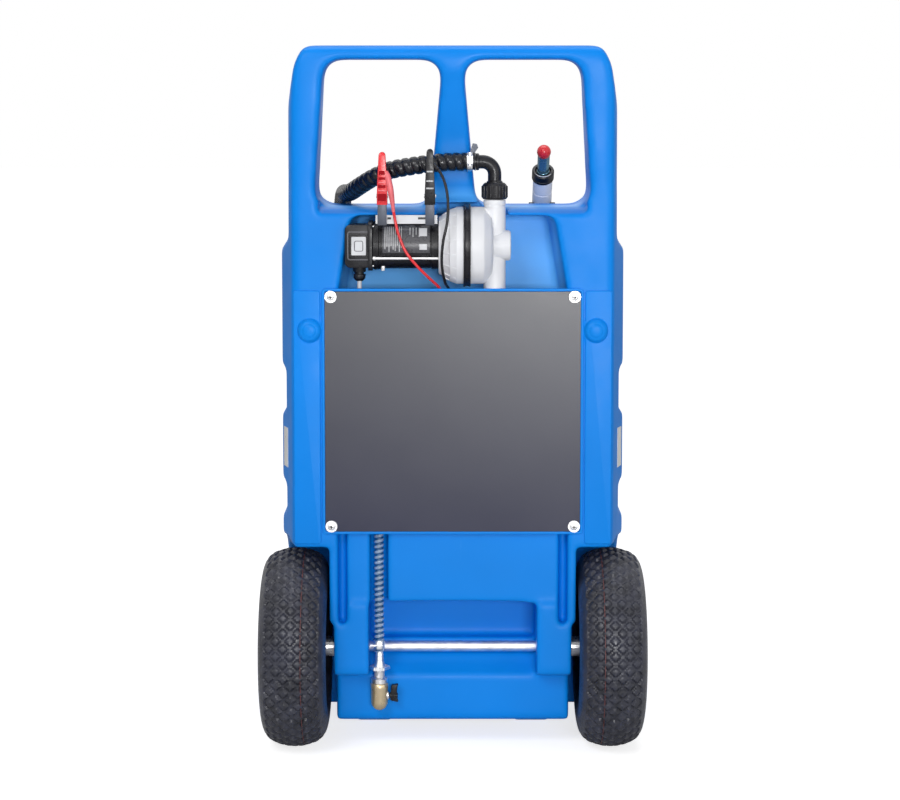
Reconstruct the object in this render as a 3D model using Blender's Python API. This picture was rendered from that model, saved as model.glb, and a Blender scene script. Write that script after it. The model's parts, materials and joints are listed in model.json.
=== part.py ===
"""Wheeled fluid transfer tank: a moulded tank with a handle frame, pump, hoses, nozzle and two wheels.

Everything is in metres with +Z up. Lengths along Y are measured from the axle plane, the operator stands
towards -Y, and one parent empty moves the whole model so that the origin is below its middle.
"""

import math

import bmesh
import bpy
import numpy as np
from mathutils import Matrix, Vector

# Fit between pieces
GAP = 0.0003
SMALL_CORNER = 0.007  # corners up to this radius are drawn as one flat
PAST = 0.004  # how far a cutter runs past the face that it opens

# Frame
FRAME_SHIFT_Y = -0.1153

# Tank, front view
BODY_HALF = 0.257
REAR_HALF = BODY_HALF - 0.0204
HANDLE_HALF = BODY_HALF - 0.0135
HANDLE_TOP_HALF = BODY_HALF - 0.037
TANK_TOP = 1.056
SHOULDER_Z = 0.772
GROOVE_DEPTH = 0.008
GROOVE_SLOPE = 0.007
UPPER_GROOVE = (0.513, 0.574)
LOWER_GROOVE = (0.359, 0.4015)
UPPER_BULGE_TOP = 0.754
BASE_HALF = BODY_HALF - 0.042
BASE_Z = 0.018
BASE_FLARE_Z = 0.070

# Tank, side view
REAR_Y = -0.060
FRONT_Y = 0.310
DECK_Z = 0.775
SILL_Z = 0.8185
SILL_REAR_Z = 0.809
SILL_FRONT_Y = 0.125
DECK_FRONT_RADIUS = 0.030
FRONT_CORNER = 0.045
HANDLE_DEPTH_LOW = 0.130
HANDLE_DEPTH_TOP = 0.052
SKIRT_Y = -0.030
SKIRT_BOTTOM = 0.044
WALL = 0.006

# Bays at both front corners of the deck
BAY_START_Y = 0.205
BAY_END_Z = 0.600
LEFT_BAY_X = -0.125
RIGHT_BAY_X = 0.100

# Windows and centre post
HANDLE_BAR = 0.021
WINDOW_TOP = TANK_TOP - HANDLE_BAR
WINDOW_OUTER_TOP = 0.1887
WINDOW_OUTER_LOW = 0.2043
POST_HALF_TOP = 0.0152
POST_HALF_LOW = 0.0352
WINDOW_RADIUS = 0.024
POST_Y = -0.026
POST_CUT_HALF = 0.085
POST_BEND_SHARE = 0.41

# Planes where the tank's shell is split into nodes
SPLIT_Y = 0.0415
SPLIT_DECK_Z = 0.7570
SPLIT_HANDLE_Z = SILL_Z + 0.0004

# Wheels and axle
WHEEL_RADIUS = 0.150
TYRE_WIDTH = 0.098
ARCH_RADIUS = 0.172
WHEEL_BAY = 0.073
ARCH_INNER_X = BODY_HALF - WHEEL_BAY
TRACK_HALF = BODY_HALF - 0.0195
AXLE_RADIUS = 0.008
AXLE_FIT = 0.0003
RIM_RADIUS = 0.052
RIM_WIDTH = 0.062
HUB_RADIUS = 0.017
BUSH_RADIUS = 0.0125
HUB_HALF = 0.0445
SPACER_RADIUS = 0.015

# Axle legs and alcove
LEG_INNER_X = 0.1257
LEG_OUTER_X = ARCH_INNER_X - 0.0062
SKIRT_HALF = ARCH_INNER_X - 0.009
LEG_TOP = 0.1964
LEG_BOTTOM = 0.1167
ALCOVE_FLOOR = 0.1615
ALCOVE_TOP = 0.227
ALCOVE_RISE = 0.004
ALCOVE_Y = 0.030
UNDER_AXLE_Y = 0.0095

# Panel below the plate
PANEL_HALF = 0.1585
PANEL_DEPTH = 0.005
SLOT_WIDTH = 0.012
SLOT_DEPTH = 0.025
HOSE_SLOT_WIDTH = 0.026
HOSE_SLOT_DEPTH = 0.024

# Pump recess and compartment
RECESS_Y = 0.030
RECESS_TOP = 0.806
RECESS_TOP_HALF = 0.151
RECESS_LOW_HALF = 0.170
COMPARTMENT_BOTTOM = 0.360
RECESS_TAPER = 0.94

# Moulded bosses beside the plate
BOSS_X = 0.2115
BOSS_Z = 0.637
BOSS_RADIUS = 0.018
BOSS_HEIGHT = 0.006

# Cover plate
PLATE_WIDTH = 0.3775
PLATE_HEIGHT = 0.357
PLATE_THICK = 0.003
PLATE_BOTTOM = 0.3375
PLATE_SCREW_X = 0.180
PLATE_SCREW_INSET = 0.0075
SCREW_RADIUS = 0.003
SCREW_LENGTH = 0.016
SCREW_HEAD_RADIUS = 0.0055
SCREW_HEAD_HEIGHT = 0.003
WASHER_RADIUS = 0.009
WASHER_THICK = 0.0015

# Pump
PUMP_Y = -0.045
PUMP_Z = 0.762
PUMP_ROOM = 0.0012
MOTOR_RADIUS = 0.035
MOTOR_WALL = 0.004
MOTOR_LEFT = -0.1170
MOTOR_RIGHT = -0.0212
SHAFT_RADIUS = 0.004
ROTOR_RADIUS = 0.0255
SWITCH_LEFT = -0.1585
SWITCH_LOW = 0.7303
SWITCH_HIGH = 0.7936
SWITCH_DEPTH = 0.062
LUG_HALF = MOTOR_RADIUS + 0.006
ROCKER_WIDTH = 0.022
ROCKER_HEIGHT = 0.028
ROCKER_DEPTH = 0.009
ROCKER_PROUD = 0.002
ROCKER_ROOM = 0.0012
ROCKER_TILT = 6.0
ROD_RADIUS = 0.002
ROD_DROP = 0.0175
HEAD_RADIUS = 0.059
HEAD_SPLIT_X = 0.021
BAND_WIDTH = 0.0104
BAND_THICK = 0.0022
FLANGE_THICK = 0.0035
DIAPHRAGM_THICK = 0.003
DIAPHRAGM_RADIUS = 0.052
CHAMBER_RADIUS = 0.042
HEAD_RIGHT = 0.0560
COLUMN_X = 0.0618
COLUMN_RADIUS = 0.0164
COLUMN_BORE = 0.0095
COLUMN_LOW = 0.6955
COLUMN_TOP = 0.8295
SIDE_BOSS_RADIUS = 0.0225
SIDE_BOSS_X = 0.0858
FOOT_WIDTH = 0.044
FOOT_HEIGHT = 0.062
FOOT_X = -0.066
FOOT_FLANGE = 0.004

# Outlet
NUT_RADIUS = 0.0197
NUT_LOW = 0.8303
NUT_HIGH = 0.8547
ELBOW_RADIUS = 0.0100
ELBOW_BORE = 0.0060
ELBOW_BEND = 0.018
OUTLET_Z = 0.8852
HOSE_START_X = 0.0337
SPIGOT_RADIUS = 0.0078
SPIGOT_LENGTH = 0.018
SHOULDER_RADIUS = 0.0125
SHOULDER_LENGTH = 0.0050

# Delivery hose
HOSE_RADIUS = 0.0135
HOSE_GROOVE_RADIUS = 0.0117
HOSE_BORE = 0.0090
HOSE_RIB_PITCH = 0.020
HOSE_POINTS_STEP = 0.032
COIL_X = -0.015
COIL_Z = 0.440
COIL_RADIUS = 0.165
COIL_PITCH = 0.028
COIL_TURNS = 3.5
COIL_LAYER_TURNS = 1.5
COIL_STEPS = 24
COIL_OFF_WALL = 0.010
COIL_TUCK = 0.18

# Hose saddle
SADDLE_WALL = 0.008
SADDLE_FROM = 28.0
SADDLE_TO = 152.0
SADDLE_LIP = 0.014
SADDLE_LIP_THICK = 0.005
SADDLE_FOOT = 0.045

# Nozzle
NOZZLE_X = 0.143
NOZZLE_RISE = 45.0
COLLAR_Y = 0.205
COLLAR_Z = 0.863
COLLAR_RADIUS = 0.0175
COLLAR_LENGTH = 0.015
BARREL_RADIUS = 0.0155
BARREL_LENGTH = 0.100
GRIP_RADIUS = 0.0145
GRIP_END_Y = 0.337
GRIP_END_Z = 0.600
SPOUT_RADIUS = 0.0095
SPOUT_BORE = 0.0078
SPOUT_LENGTH = 0.052
DUST_CAP_RADIUS = 0.0112
DUST_CAP_LENGTH = 0.022
GUARD_WIDTH = 0.012
GUARD_THICK = 0.005
GUARD_REACH = 0.052
TRIGGER_WIDTH = 0.013
TRIGGER_THICK = 0.006
TRIGGER_REACH = 0.023
TRIGGER_LENGTH = 0.092
SWIVEL_RADIUS = 0.0165
SWIVEL_LENGTH = 0.030
CRADLE_FROM = 0.2404
CRADLE_TO = 0.2640
CRADLE_WALL = 0.005
CRADLE_TOP = 0.815

# Clamp rail and battery clamps
RAIL_Y = -0.073
RAIL_THICK = 0.003
RAIL_LEFT = -0.1129
RAIL_RIGHT = -0.0225
RAIL_LOW = 0.7951
RAIL_HIGH = 0.8078
ARM_LOW = 0.7985
ARM_HIGH = 0.8050
ARM_WIDTH = 0.008
RED_CLAMP_X = -0.1033
BLACK_CLAMP_X = -0.0334
LEFT_ARM_X = -0.0900
RIGHT_ARM_X = -0.0560
CLAMP_WIDTH = 0.0155
CLAMP_TIP_Z = 0.900
CLAMP_PIVOT_Z = 0.836
JAW_BOTTOM = 0.7930
JAW_THICK = 0.0016
CLAMP_PIN_RADIUS = 0.0025

# Leads and cables
LEAD_RADIUS = 0.0021
CABLE_RADIUS = 0.0034
LEAD_STEP = 0.015
BATTERY_COIL_X = -0.045
BATTERY_COIL_Z = 0.575
BATTERY_COIL_Y = -0.036
BATTERY_COIL_RADIUS = 0.048
BATTERY_COIL_PITCH = 0.0076
BATTERY_COIL_TURNS = 3.25
BATTERY_COIL_STEPS = 16
BATTERY_CABLE_RISE = 0.030
FUSE_BOX = (0.056, 0.046, 0.044)
FUSE_BOX_X = -0.128
FUSE_BOX_Z = 0.529

# Suction line
SUCTION_X = -0.110
SUCTION_Y = -0.045
SUCTION_RADIUS = 0.0074
SUCTION_GROOVE_RADIUS = 0.0062
SUCTION_BORE = 0.0046
SUCTION_RIB_PITCH = 0.016
SUCTION_BORE_STEP = 0.014
SUCTION_BEND = 0.062
SUCTION_CROSS_Z = 0.425
SUCTION_END_Z = 0.1520
FLANGE_Z = 0.1275
FLANGE_RADIUS = 0.0155
RING_Z = 0.1040
VALVE_RADIUS = 0.0127
VALVE_LOW = 0.0630
VALVE_BORE = 0.005
STEM_Z = 0.0850
STEM_RADIUS = 0.0032
STEM_LENGTH = 0.004
LEVER_WIDTH = 0.013
LEVER_THICK = 0.009
LEVER_UP = 0.018
LEVER_DOWN = 0.010

# Filler
FILLER_X = -0.010
FILLER_Y = 0.212
NECK_RADIUS = 0.036
NECK_BORE = 0.029
NECK_HEIGHT = 0.016
CAP_RADIUS = 0.043
CAP_HEIGHT = 0.026
CAP_WALL = 0.004
CAP_FIT = 0.0012

# Runners under the front
RUNNER_X = 0.124
RUNNER_WIDTH = 0.056
RUNNER_REAR_Y = 0.130
RUNNER_FRONT_Y = 0.285

for old in list(bpy.data.objects):
    bpy.data.objects.remove(old, do_unlink=True)


# Materials


def finish(name, colour, roughness, metallic=0.0):
    material = bpy.data.materials.new(name)
    material.use_nodes = True
    shader = material.node_tree.nodes["Principled BSDF"]
    shader.inputs["Base Color"].default_value = (*colour, 1.0)
    shader.inputs["Roughness"].default_value = roughness
    shader.inputs["Metallic"].default_value = metallic
    return material


BLUE = finish("blue_polyethylene", (0.005, 0.235, 0.80), 0.35)
ANTHRACITE = finish("anthracite_sheet", (0.115, 0.110, 0.125), 0.45)
ZINC = finish("zinc_plate", (0.62, 0.63, 0.65), 0.35, 1.0)
BLACK = finish("black_plastic", (0.012, 0.012, 0.014), 0.45)
RUBBER = finish("black_rubber", (0.016, 0.016, 0.018), 0.75)
WHITE = finish("white_plastic", (0.72, 0.72, 0.73), 0.40)
GREY = finish("grey_plastic", (0.36, 0.38, 0.43), 0.42)
RED = finish("red_plastic", (0.62, 0.012, 0.018), 0.38)
BRASS = finish("brass", (0.52, 0.39, 0.19), 0.30, 1.0)
CLEAR = finish("clear_hose", (0.50, 0.56, 0.66), 0.25)
STEEL = finish("bright_steel", (0.70, 0.71, 0.72), 0.22, 1.0)

FRAME = bpy.data.objects.new("frame_origin", None)
bpy.context.collection.objects.link(FRAME)
FRAME.location = (0.0, FRAME_SHIFT_Y, 0.0)


# Shapes


def add_object(name, data, material):
    """A new object under the frame's empty."""
    obj = bpy.data.objects.new(name, data)
    bpy.context.collection.objects.link(obj)
    obj.parent = FRAME
    if material:
        data.materials.append(material)
    return obj


def solid(name, bm, material):
    """An object from a closed bmesh, with its faces pointing out."""
    bmesh.ops.recalc_face_normals(bm, faces=bm.faces)
    mesh = bpy.data.meshes.new(name)
    bm.to_mesh(mesh)
    bm.free()
    return add_object(name, mesh, material)


def rounded(corners, steps=3):
    """A closed outline from corners (a, b, radius), each radius turned into an arc."""
    points = []
    for i, (a, b, radius) in enumerate(corners):
        here = Vector((a, b))
        if radius <= 0:
            points.append((a, b))
            continue
        before = Vector(corners[i - 1][:2]) - here
        after = Vector(corners[(i + 1) % len(corners)][:2]) - here
        half = before.angle(after) / 2
        reach = min(radius / math.tan(half), 0.49 * before.length, 0.49 * after.length)
        middle = here + (before.normalized() + after.normalized()).normalized() * (
            reach / math.cos(half)
        )
        start = here + before.normalized() * reach - middle
        end = here + after.normalized() * reach - middle
        parts = steps if radius > SMALL_CORNER else 1
        first = math.atan2(start.y, start.x)
        turn = math.atan2(end.y, end.x) - first
        turn = (turn + math.pi) % (2 * math.pi) - math.pi
        for step in range(parts + 1):
            angle = first + turn * step / parts
            points.append(
                (
                    middle.x + start.length * math.cos(angle),
                    middle.y + start.length * math.sin(angle),
                )
            )
    return points


def rectangle(low_a, high_a, low_b, high_b, radius=0.0):
    """The corners of a rectangle, for rounded()."""
    return [
        (low_a, low_b, radius),
        (high_a, low_b, radius),
        (high_a, high_b, radius),
        (low_a, high_b, radius),
    ]


def in_space(axis, a, b, along):
    """A point of an outline that is drawn square to an axis."""
    if axis == "X":
        return (along, a, b)
    if axis == "Y":
        return (a, along, b)
    return (a, b, along)


def prism(name, outline, axis, low, high, material=None, taper=1.0):
    """An outline drawn out along an axis, its high end narrowed about zero by taper."""
    bm = bmesh.new()
    near = [bm.verts.new(in_space(axis, a, b, low)) for a, b in outline]
    far = [bm.verts.new(in_space(axis, a * taper, b, high)) for a, b in outline]
    bm.faces.new(near)
    bm.faces.new(far)
    for i in range(len(outline)):
        j = (i + 1) % len(outline)
        bm.faces.new((near[i], near[j], far[j], far[i]))
    return solid(name, bm, material)


def strip(name, one, two, axis, low, high, material=None):
    """An open band between two lines of equally many points, drawn out along an axis."""
    bm = bmesh.new()
    rows = [
        [bm.verts.new(in_space(axis, a, b, along)) for a, b in line]
        for line, along in ((one, low), (two, low), (two, high), (one, high))
    ]
    for row, following in zip(rows, rows[1:] + rows[:1]):
        for i in range(len(row) - 1):
            bm.faces.new((row[i], row[i + 1], following[i + 1], following[i]))
    for end in (0, -1):
        bm.faces.new([row[end] for row in rows])
    return solid(name, bm, material)


def swept_arc(name, section, caps, centre_a, centre_b, from_angle, to_angle, steps, material):
    """A section of (along Y, radius) points swept round an arc about Y; caps lists its end faces."""
    bm = bmesh.new()
    rings = []
    for step in range(steps + 1):
        angle = math.radians(from_angle + (to_angle - from_angle) * step / steps)
        rings.append(
            [
                bm.verts.new(
                    (centre_a + r * math.cos(angle), along, centre_b + r * math.sin(angle))
                )
                for along, r in section
            ]
        )
    for near, far in zip(rings, rings[1:]):
        for i in range(len(section)):
            j = (i + 1) % len(section)
            bm.faces.new((near[i], near[j], far[j], far[i]))
    for ring_of in (rings[0], rings[-1]):
        for cap in caps:
            bm.faces.new([ring_of[i] for i in cap])
    return solid(name, bm, material)


def box(name, low, high, material=None, radius=0.0, axis="Z"):
    """A block between two corners, its edges along one axis rounded."""
    index = "XYZ".index(axis)
    a, b = [i for i in range(3) if i != index]
    outline = rounded(rectangle(low[a], high[a], low[b], high[b], radius), 3)
    return prism(name, outline, axis, low[index], high[index], material)


def turned(name, profile, axis, centre, material=None, segments=24, closed=False):
    """A profile of (along, radius) turned about an axis through centre.

    An open profile starts and ends on the axis, and a closed one goes round a ring.
    """
    bm = bmesh.new()
    rings = []
    for along, radius in profile:
        if radius < 1e-7:
            rings.append([bm.verts.new(in_space(axis, 0.0, 0.0, along))])
            continue
        rings.append(
            [
                bm.verts.new(
                    in_space(
                        axis,
                        radius * math.cos(2 * math.pi * i / segments - math.pi / 2),
                        radius * math.sin(2 * math.pi * i / segments - math.pi / 2),
                        along,
                    )
                )
                for i in range(segments)
            ]
        )
    pairs = list(zip(rings, rings[1:]))
    if closed:
        pairs.append((rings[-1], rings[0]))
    for one, two in pairs:
        for i in range(segments):
            j = (i + 1) % segments
            corners = [one[i % len(one)], one[j % len(one)], two[j % len(two)], two[i % len(two)]]
            bm.faces.new(list(dict.fromkeys(corners)))
    obj = solid(name, bm, material)
    obj.location = centre
    obj.data.shade_smooth()
    obj.data.set_sharp_from_angle(angle=math.radians(40))
    return obj


def rod(name, axis, centre, radius, low, high, material=None, segments=16):
    """A plain round bar along an axis, from low to high past its centre."""
    profile = [(low, 0.0), (low, radius), (high, radius), (high, 0.0)]
    return turned(name, profile, axis, centre, material, segments)


def ring(name, axis, centre, inner, outer, low, high, material=None, segments=24):
    """A plain round ring along an axis."""
    profile = [(low, inner), (low, outer), (high, outer), (high, inner)]
    return turned(name, profile, axis, centre, material, segments, closed=True)


def combine(target, other, operation="DIFFERENCE"):
    """Cuts other from target, or joins it, and turns other into a hidden guide."""
    step = target.modifiers.new(f"{operation.lower()}_{other.name}", "BOOLEAN")
    step.operation = operation
    step.solver = "EXACT"
    step.object = other
    other.hide_render = True
    other.display_type = "WIRE"
    return target


def cut(target, *cutters):
    for cutter in cutters:
        combine(target, cutter)
    return target


def join(target, *others):
    for other in others:
        combine(target, other, "UNION")
    return target


def smooth_route(points, step):
    """Evenly spaced points on a smooth curve through the route's own points."""
    knots = np.array(points, float)
    ends = np.vstack([2 * knots[0] - knots[1], knots, 2 * knots[-1] - knots[-2]])
    fine = []
    for i in range(len(knots) - 1):
        p0, p1, p2, p3 = ends[i : i + 4]
        for t in np.linspace(0.0, 1.0, 24, endpoint=False):
            fine.append(
                0.5
                * (
                    2 * p1
                    + (p2 - p0) * t
                    + (2 * p0 - 5 * p1 + 4 * p2 - p3) * t**2
                    + (3 * p1 - p0 - 3 * p2 + p3) * t**3
                )
            )
    fine = np.array(fine + [knots[-1]])
    along = np.concatenate([[0.0], np.cumsum(np.linalg.norm(np.diff(fine, axis=0), axis=1))])
    count = max(3, round(along[-1] / step) + 1)
    at = np.linspace(0.0, along[-1], count)
    return [tuple(np.interp(t, along, fine[:, k]) for k in range(3)) for t in at]


def route_length(points):
    line = np.array(points, float)
    return float(np.linalg.norm(np.diff(line, axis=0), axis=1).sum())


def tube(name, points, radius, material, resolution=2, radii=None):
    """A round tube along points, with closed ends."""
    curve = bpy.data.curves.new(name, "CURVE")
    curve.dimensions = "3D"
    curve.bevel_depth = radius
    curve.bevel_resolution = resolution
    curve.use_fill_caps = True
    spline = curve.splines.new("POLY")
    spline.points.add(len(points) - 1)
    for i, point in enumerate(points):
        spline.points[i].co = (*point, 1.0)
        spline.points[i].radius = radii[i] if radii else 1.0
    return add_object(name, curve, material)


def as_mesh(curve_object):
    """The same tube as a mesh object, which can be cut."""
    name = curve_object.name
    mesh = bpy.data.meshes.new_from_object(curve_object)
    material = curve_object.data.materials[0] if curve_object.data.materials else None
    bpy.data.objects.remove(curve_object, do_unlink=True)
    mesh.materials.clear()
    bm = bmesh.new()
    bm.from_mesh(mesh)
    bpy.data.meshes.remove(mesh)
    bmesh.ops.remove_doubles(bm, verts=bm.verts, dist=1e-6)
    return solid(name, bm, material)


def ribbed_tube(name, route, rib_pitch, outer, groove, bore, material, bore_step):
    """A ribbed hose with an open bore: each rib has one point at full radius and one in its groove."""
    points = smooth_route(route, rib_pitch / 2)
    radii = [1.0 if i % 2 == 0 else groove / outer for i in range(len(points))]
    radii[0] = radii[-1] = 1.0
    hose = as_mesh(tube(name, points, outer, material, 2, radii))
    inside = smooth_route(route, bore_step)
    first = Vector(inside[0]) + (Vector(inside[0]) - Vector(inside[1])).normalized() * PAST
    last = Vector(inside[-1]) + (Vector(inside[-1]) - Vector(inside[-2])).normalized() * PAST
    channel = as_mesh(tube(name + "_bore", [tuple(first), *inside, tuple(last)], bore, None, 2))
    return cut(hose, channel)


def point_along(obj, origin, direction):
    """Places an object that was modelled along +Z so that +Z points along direction."""
    turn = Vector(direction).to_track_quat("Z", "X")
    obj.rotation_mode = "QUATERNION"
    obj.rotation_quaternion = turn
    obj.location = origin
    return obj


def mirrored(points):
    """A right-hand half outline, bottom to top, closed by its mirror image."""
    return points + [(-a, b, r) for a, b, r in reversed(points)]


# Tank


def tank_front_outline():
    """The tank's outer edge from the rear: base, strap grooves, shoulder and handle."""
    inner = BODY_HALF - GROOVE_DEPTH
    right = [(BASE_HALF, BASE_Z, 0.012), (BODY_HALF, BASE_FLARE_Z, 0.020)]
    for low, high in (LOWER_GROOVE, UPPER_GROOVE):
        right += [
            (BODY_HALF, low - GROOVE_SLOPE, 0.004),
            (inner, low, 0.004),
            (inner, high, 0.004),
            (BODY_HALF, high + GROOVE_SLOPE, 0.004),
        ]
    right += [
        (BODY_HALF, UPPER_BULGE_TOP, 0.006),
        (HANDLE_HALF, SHOULDER_Z, 0.010),
        (HANDLE_HALF - 0.0005, TANK_TOP - 0.087, 0.060),
        (HANDLE_HALF - 0.010, TANK_TOP - 0.028, 0.030),
        (HANDLE_TOP_HALF, TANK_TOP, 0.016),
    ]
    return rounded(mirrored(right), 2)


def tank_side_outline():
    """The tank's profile from the side: handle, sill, deck, front, bottom, skirt and rear face."""
    handle_front = REAR_Y + HANDLE_DEPTH_LOW
    return rounded(
        [
            (REAR_Y, TANK_TOP, 0.014),
            (REAR_Y + HANDLE_DEPTH_TOP, TANK_TOP, 0.020),
            (handle_front - 0.030, SILL_Z + 0.110, 0.080),
            (handle_front, SILL_Z + 0.016, 0.020),
            (SILL_FRONT_Y, SILL_Z, 0.012),
            (SILL_FRONT_Y + 0.022, DECK_Z, 0.010),
            (FRONT_Y, DECK_Z, DECK_FRONT_RADIUS),
            (FRONT_Y, BASE_Z, 0.030),
            (RUNNER_REAR_Y - 0.030, BASE_Z, 0.020),
            (SKIRT_Y, SKIRT_BOTTOM, 0.008),
            (SKIRT_Y, LEG_BOTTOM, 0.0),
            (REAR_Y, LEG_BOTTOM, 0.008),
        ],
        2,
    )


def tank_plan_outline():
    """The tank's outline from above: bevelled rear corners and round front corners."""
    rear_to_front = [
        (REAR_HALF, REAR_Y, 0.010),
        (BODY_HALF, REAR_Y + 0.070, 0.040),
        (BODY_HALF, FRONT_Y, FRONT_CORNER),
    ]
    return rounded(mirrored(rear_to_front), 3)


def window_outline(side):
    """One handle window, its lower edge below the sill's crown."""
    corners = [
        (POST_HALF_LOW, SILL_Z - 0.0005, WINDOW_RADIUS),
        (WINDOW_OUTER_LOW, SILL_Z - 0.0005, WINDOW_RADIUS),
        (WINDOW_OUTER_TOP, WINDOW_TOP, WINDOW_RADIUS),
        (POST_HALF_TOP, WINDOW_TOP, WINDOW_RADIUS),
    ]
    return rounded([(side * a, b, r) for a, b, r in corners], 3)


def recess_outline():
    """The pump recess and the compartment behind the plate, as one opening."""
    right = [
        (RECESS_LOW_HALF, COMPARTMENT_BOTTOM, 0.014),
        (RECESS_LOW_HALF, PLATE_BOTTOM + PLATE_HEIGHT, 0.030),
        (RECESS_TOP_HALF, RECESS_TOP, 0.014),
    ]
    return rounded(mirrored(right), 3)


def arch_outline(radius, rear, bottom):
    """A wheel arch from the side: a half circle over the axle, open to the rear and below."""
    top = WHEEL_RADIUS + math.sqrt(radius**2 - (REAR_Y) ** 2)
    points = [(rear, bottom), (rear, top)]
    start = math.acos(REAR_Y / radius)
    for step in range(9):
        angle = start * (1 - step / 8)
        points.append((radius * math.cos(angle), WHEEL_RADIUS + radius * math.sin(angle)))
    points.append((radius, bottom))
    return points


def cavity_front_outline(inner):
    """The space for the fluid from the rear: it keeps a wall inside the flare and the shoulder."""
    rise = (BASE_FLARE_Z - BASE_Z) / (BODY_HALF - BASE_HALF)
    floor = BASE_Z + WALL
    flare_z = BASE_Z + WALL * math.hypot(1.0, rise)
    lean = (BODY_HALF - HANDLE_HALF) / (SHOULDER_Z - UPPER_BULGE_TOP)
    shoulder_x = BODY_HALF - WALL * math.hypot(1.0, lean)
    upper_x = HANDLE_HALF - WALL
    right = [
        (BASE_HALF - (flare_z - floor) / rise, floor, 0.0),
        (inner, flare_z + (inner - BASE_HALF) * rise, 0.0),
        (inner, UPPER_BULGE_TOP + (shoulder_x - inner) / lean, 0.0),
        (upper_x, UPPER_BULGE_TOP + (shoulder_x - upper_x) / lean, 0.0),
        (upper_x, TANK_TOP, 0.0),
    ]
    return rounded(mirrored(right), 1)


def cavity():
    """The space for the fluid: one core in front of the recess and a column at each side of it."""
    inner = BODY_HALF - GROOVE_DEPTH - WALL
    back = RECESS_Y + WALL
    core = prism(
        "cavity_core",
        rounded(
            [
                (back, SILL_Z - WALL * 1.5, 0.010),
                (SILL_FRONT_Y - WALL, SILL_Z - WALL * 1.5, 0.008),
                (SILL_FRONT_Y + 0.016, DECK_Z - WALL, 0.008),
                (FRONT_Y - WALL, DECK_Z - WALL, 0.026),
                (FRONT_Y - WALL, BASE_Z + WALL, 0.026),
                (RUNNER_REAR_Y - 0.020, BASE_Z + WALL, 0.020),
                (back, SKIRT_BOTTOM, 0.010),
            ],
            2,
        ),
        "X",
        -inner,
        inner,
    )
    plan = rounded(
        [
            (-inner, REAR_Y, 0.0),
            (inner, REAR_Y, 0.0),
            (inner, FRONT_Y - WALL, FRONT_CORNER),
            (-inner, FRONT_Y - WALL, FRONT_CORNER),
        ],
        2,
    )
    combine(core, prism("cavity_plan", plan, "Z", 0.0, TANK_TOP), "INTERSECT")
    front = prism("cavity_front", cavity_front_outline(inner), "Y", REAR_Y, FRONT_Y)
    combine(core, front, "INTERSECT")
    spine = box(
        "cavity_spine",
        (SUCTION_X + HOSE_SLOT_WIDTH, REAR_Y + PANEL_DEPTH + WALL, ALCOVE_TOP + ALCOVE_RISE + WALL),
        (PANEL_HALF - WALL * 1.5, back + PAST, COMPARTMENT_BOTTOM - WALL),
        radius=0.006,
    )
    join(core, spine)
    for side, name in ((-1, "left"), (1, "right")):
        ends = sorted((side * (RECESS_LOW_HALF + WALL), side * (REAR_HALF - WALL)))
        column = box(
            f"cavity_column_{name}",
            (ends[0], REAR_Y + WALL, WHEEL_RADIUS + ARCH_RADIUS + WALL),
            (ends[1], back + PAST, DECK_Z - WALL),
            radius=0.008,
        )
        join(core, column)
        reach = sorted((side * (SKIRT_HALF - WALL), side * (BODY_HALF + PAST)))
        well = prism(
            f"cavity_well_{name}",
            arch_outline(ARCH_RADIUS + WALL, REAR_Y - PAST, -PAST),
            "X",
            *reach,
        )
        corner = rectangle(REAR_Y, ARCH_RADIUS + WALL, -PAST, LEG_TOP + WALL)
        cut(core, well, prism(f"cavity_corner_{name}", rounded(corner, 1), "X", *reach))
        inner_x = LEFT_BAY_X + WALL if side < 0 else RIGHT_BAY_X - WALL
        bay_reach = sorted((inner_x, side * (BODY_HALF + PAST)))
        cut(core, prism(f"cavity_bay_{name}", bay_outline(WALL), "X", *bay_reach))
        for z in plate_screw_z():
            sleeve = rod(
                f"screw_sleeve_{name}",
                "Y",
                (side * PLATE_SCREW_X, REAR_Y, z),
                SCREW_RADIUS + GAP + WALL,
                -PAST,
                SCREW_LENGTH + WALL,
                None,
                12,
            )
            cut(core, sleeve)
    return core


def bay_outline(grow=0.0):
    """What is cut from a front corner of the deck, from the side."""
    run = FRONT_Y - BAY_START_Y
    fall = DECK_Z - BAY_END_Z
    slope = math.hypot(run, fall)
    shift_y = -grow * slope / fall
    far = PAST * 3
    return [
        (BAY_START_Y + shift_y - far * run / fall, DECK_Z + far),
        (FRONT_Y + shift_y + far * run / fall, BAY_END_Z - far),
        (FRONT_Y + shift_y + far * run / fall + 0.05, BAY_END_Z - far),
        (FRONT_Y + shift_y + far * run / fall + 0.05, DECK_Z + far),
    ]


def moulded_boss(name, x):
    """A round boss with a raised middle, on the rear face."""
    profile = [
        (PAST, 0.0),
        (PAST, BOSS_RADIUS),
        (-BOSS_HEIGHT + 0.002, BOSS_RADIUS - 0.001),
        (-BOSS_HEIGHT, BOSS_RADIUS - 0.004),
        (-BOSS_HEIGHT + 0.003, BOSS_RADIUS - 0.006),
        (-BOSS_HEIGHT - 0.002, BOSS_RADIUS - 0.010),
        (-BOSS_HEIGHT - 0.003, 0.0),
    ]
    return turned(name, profile, "Y", (x, REAR_Y, BOSS_Z), None, 20)


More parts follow.
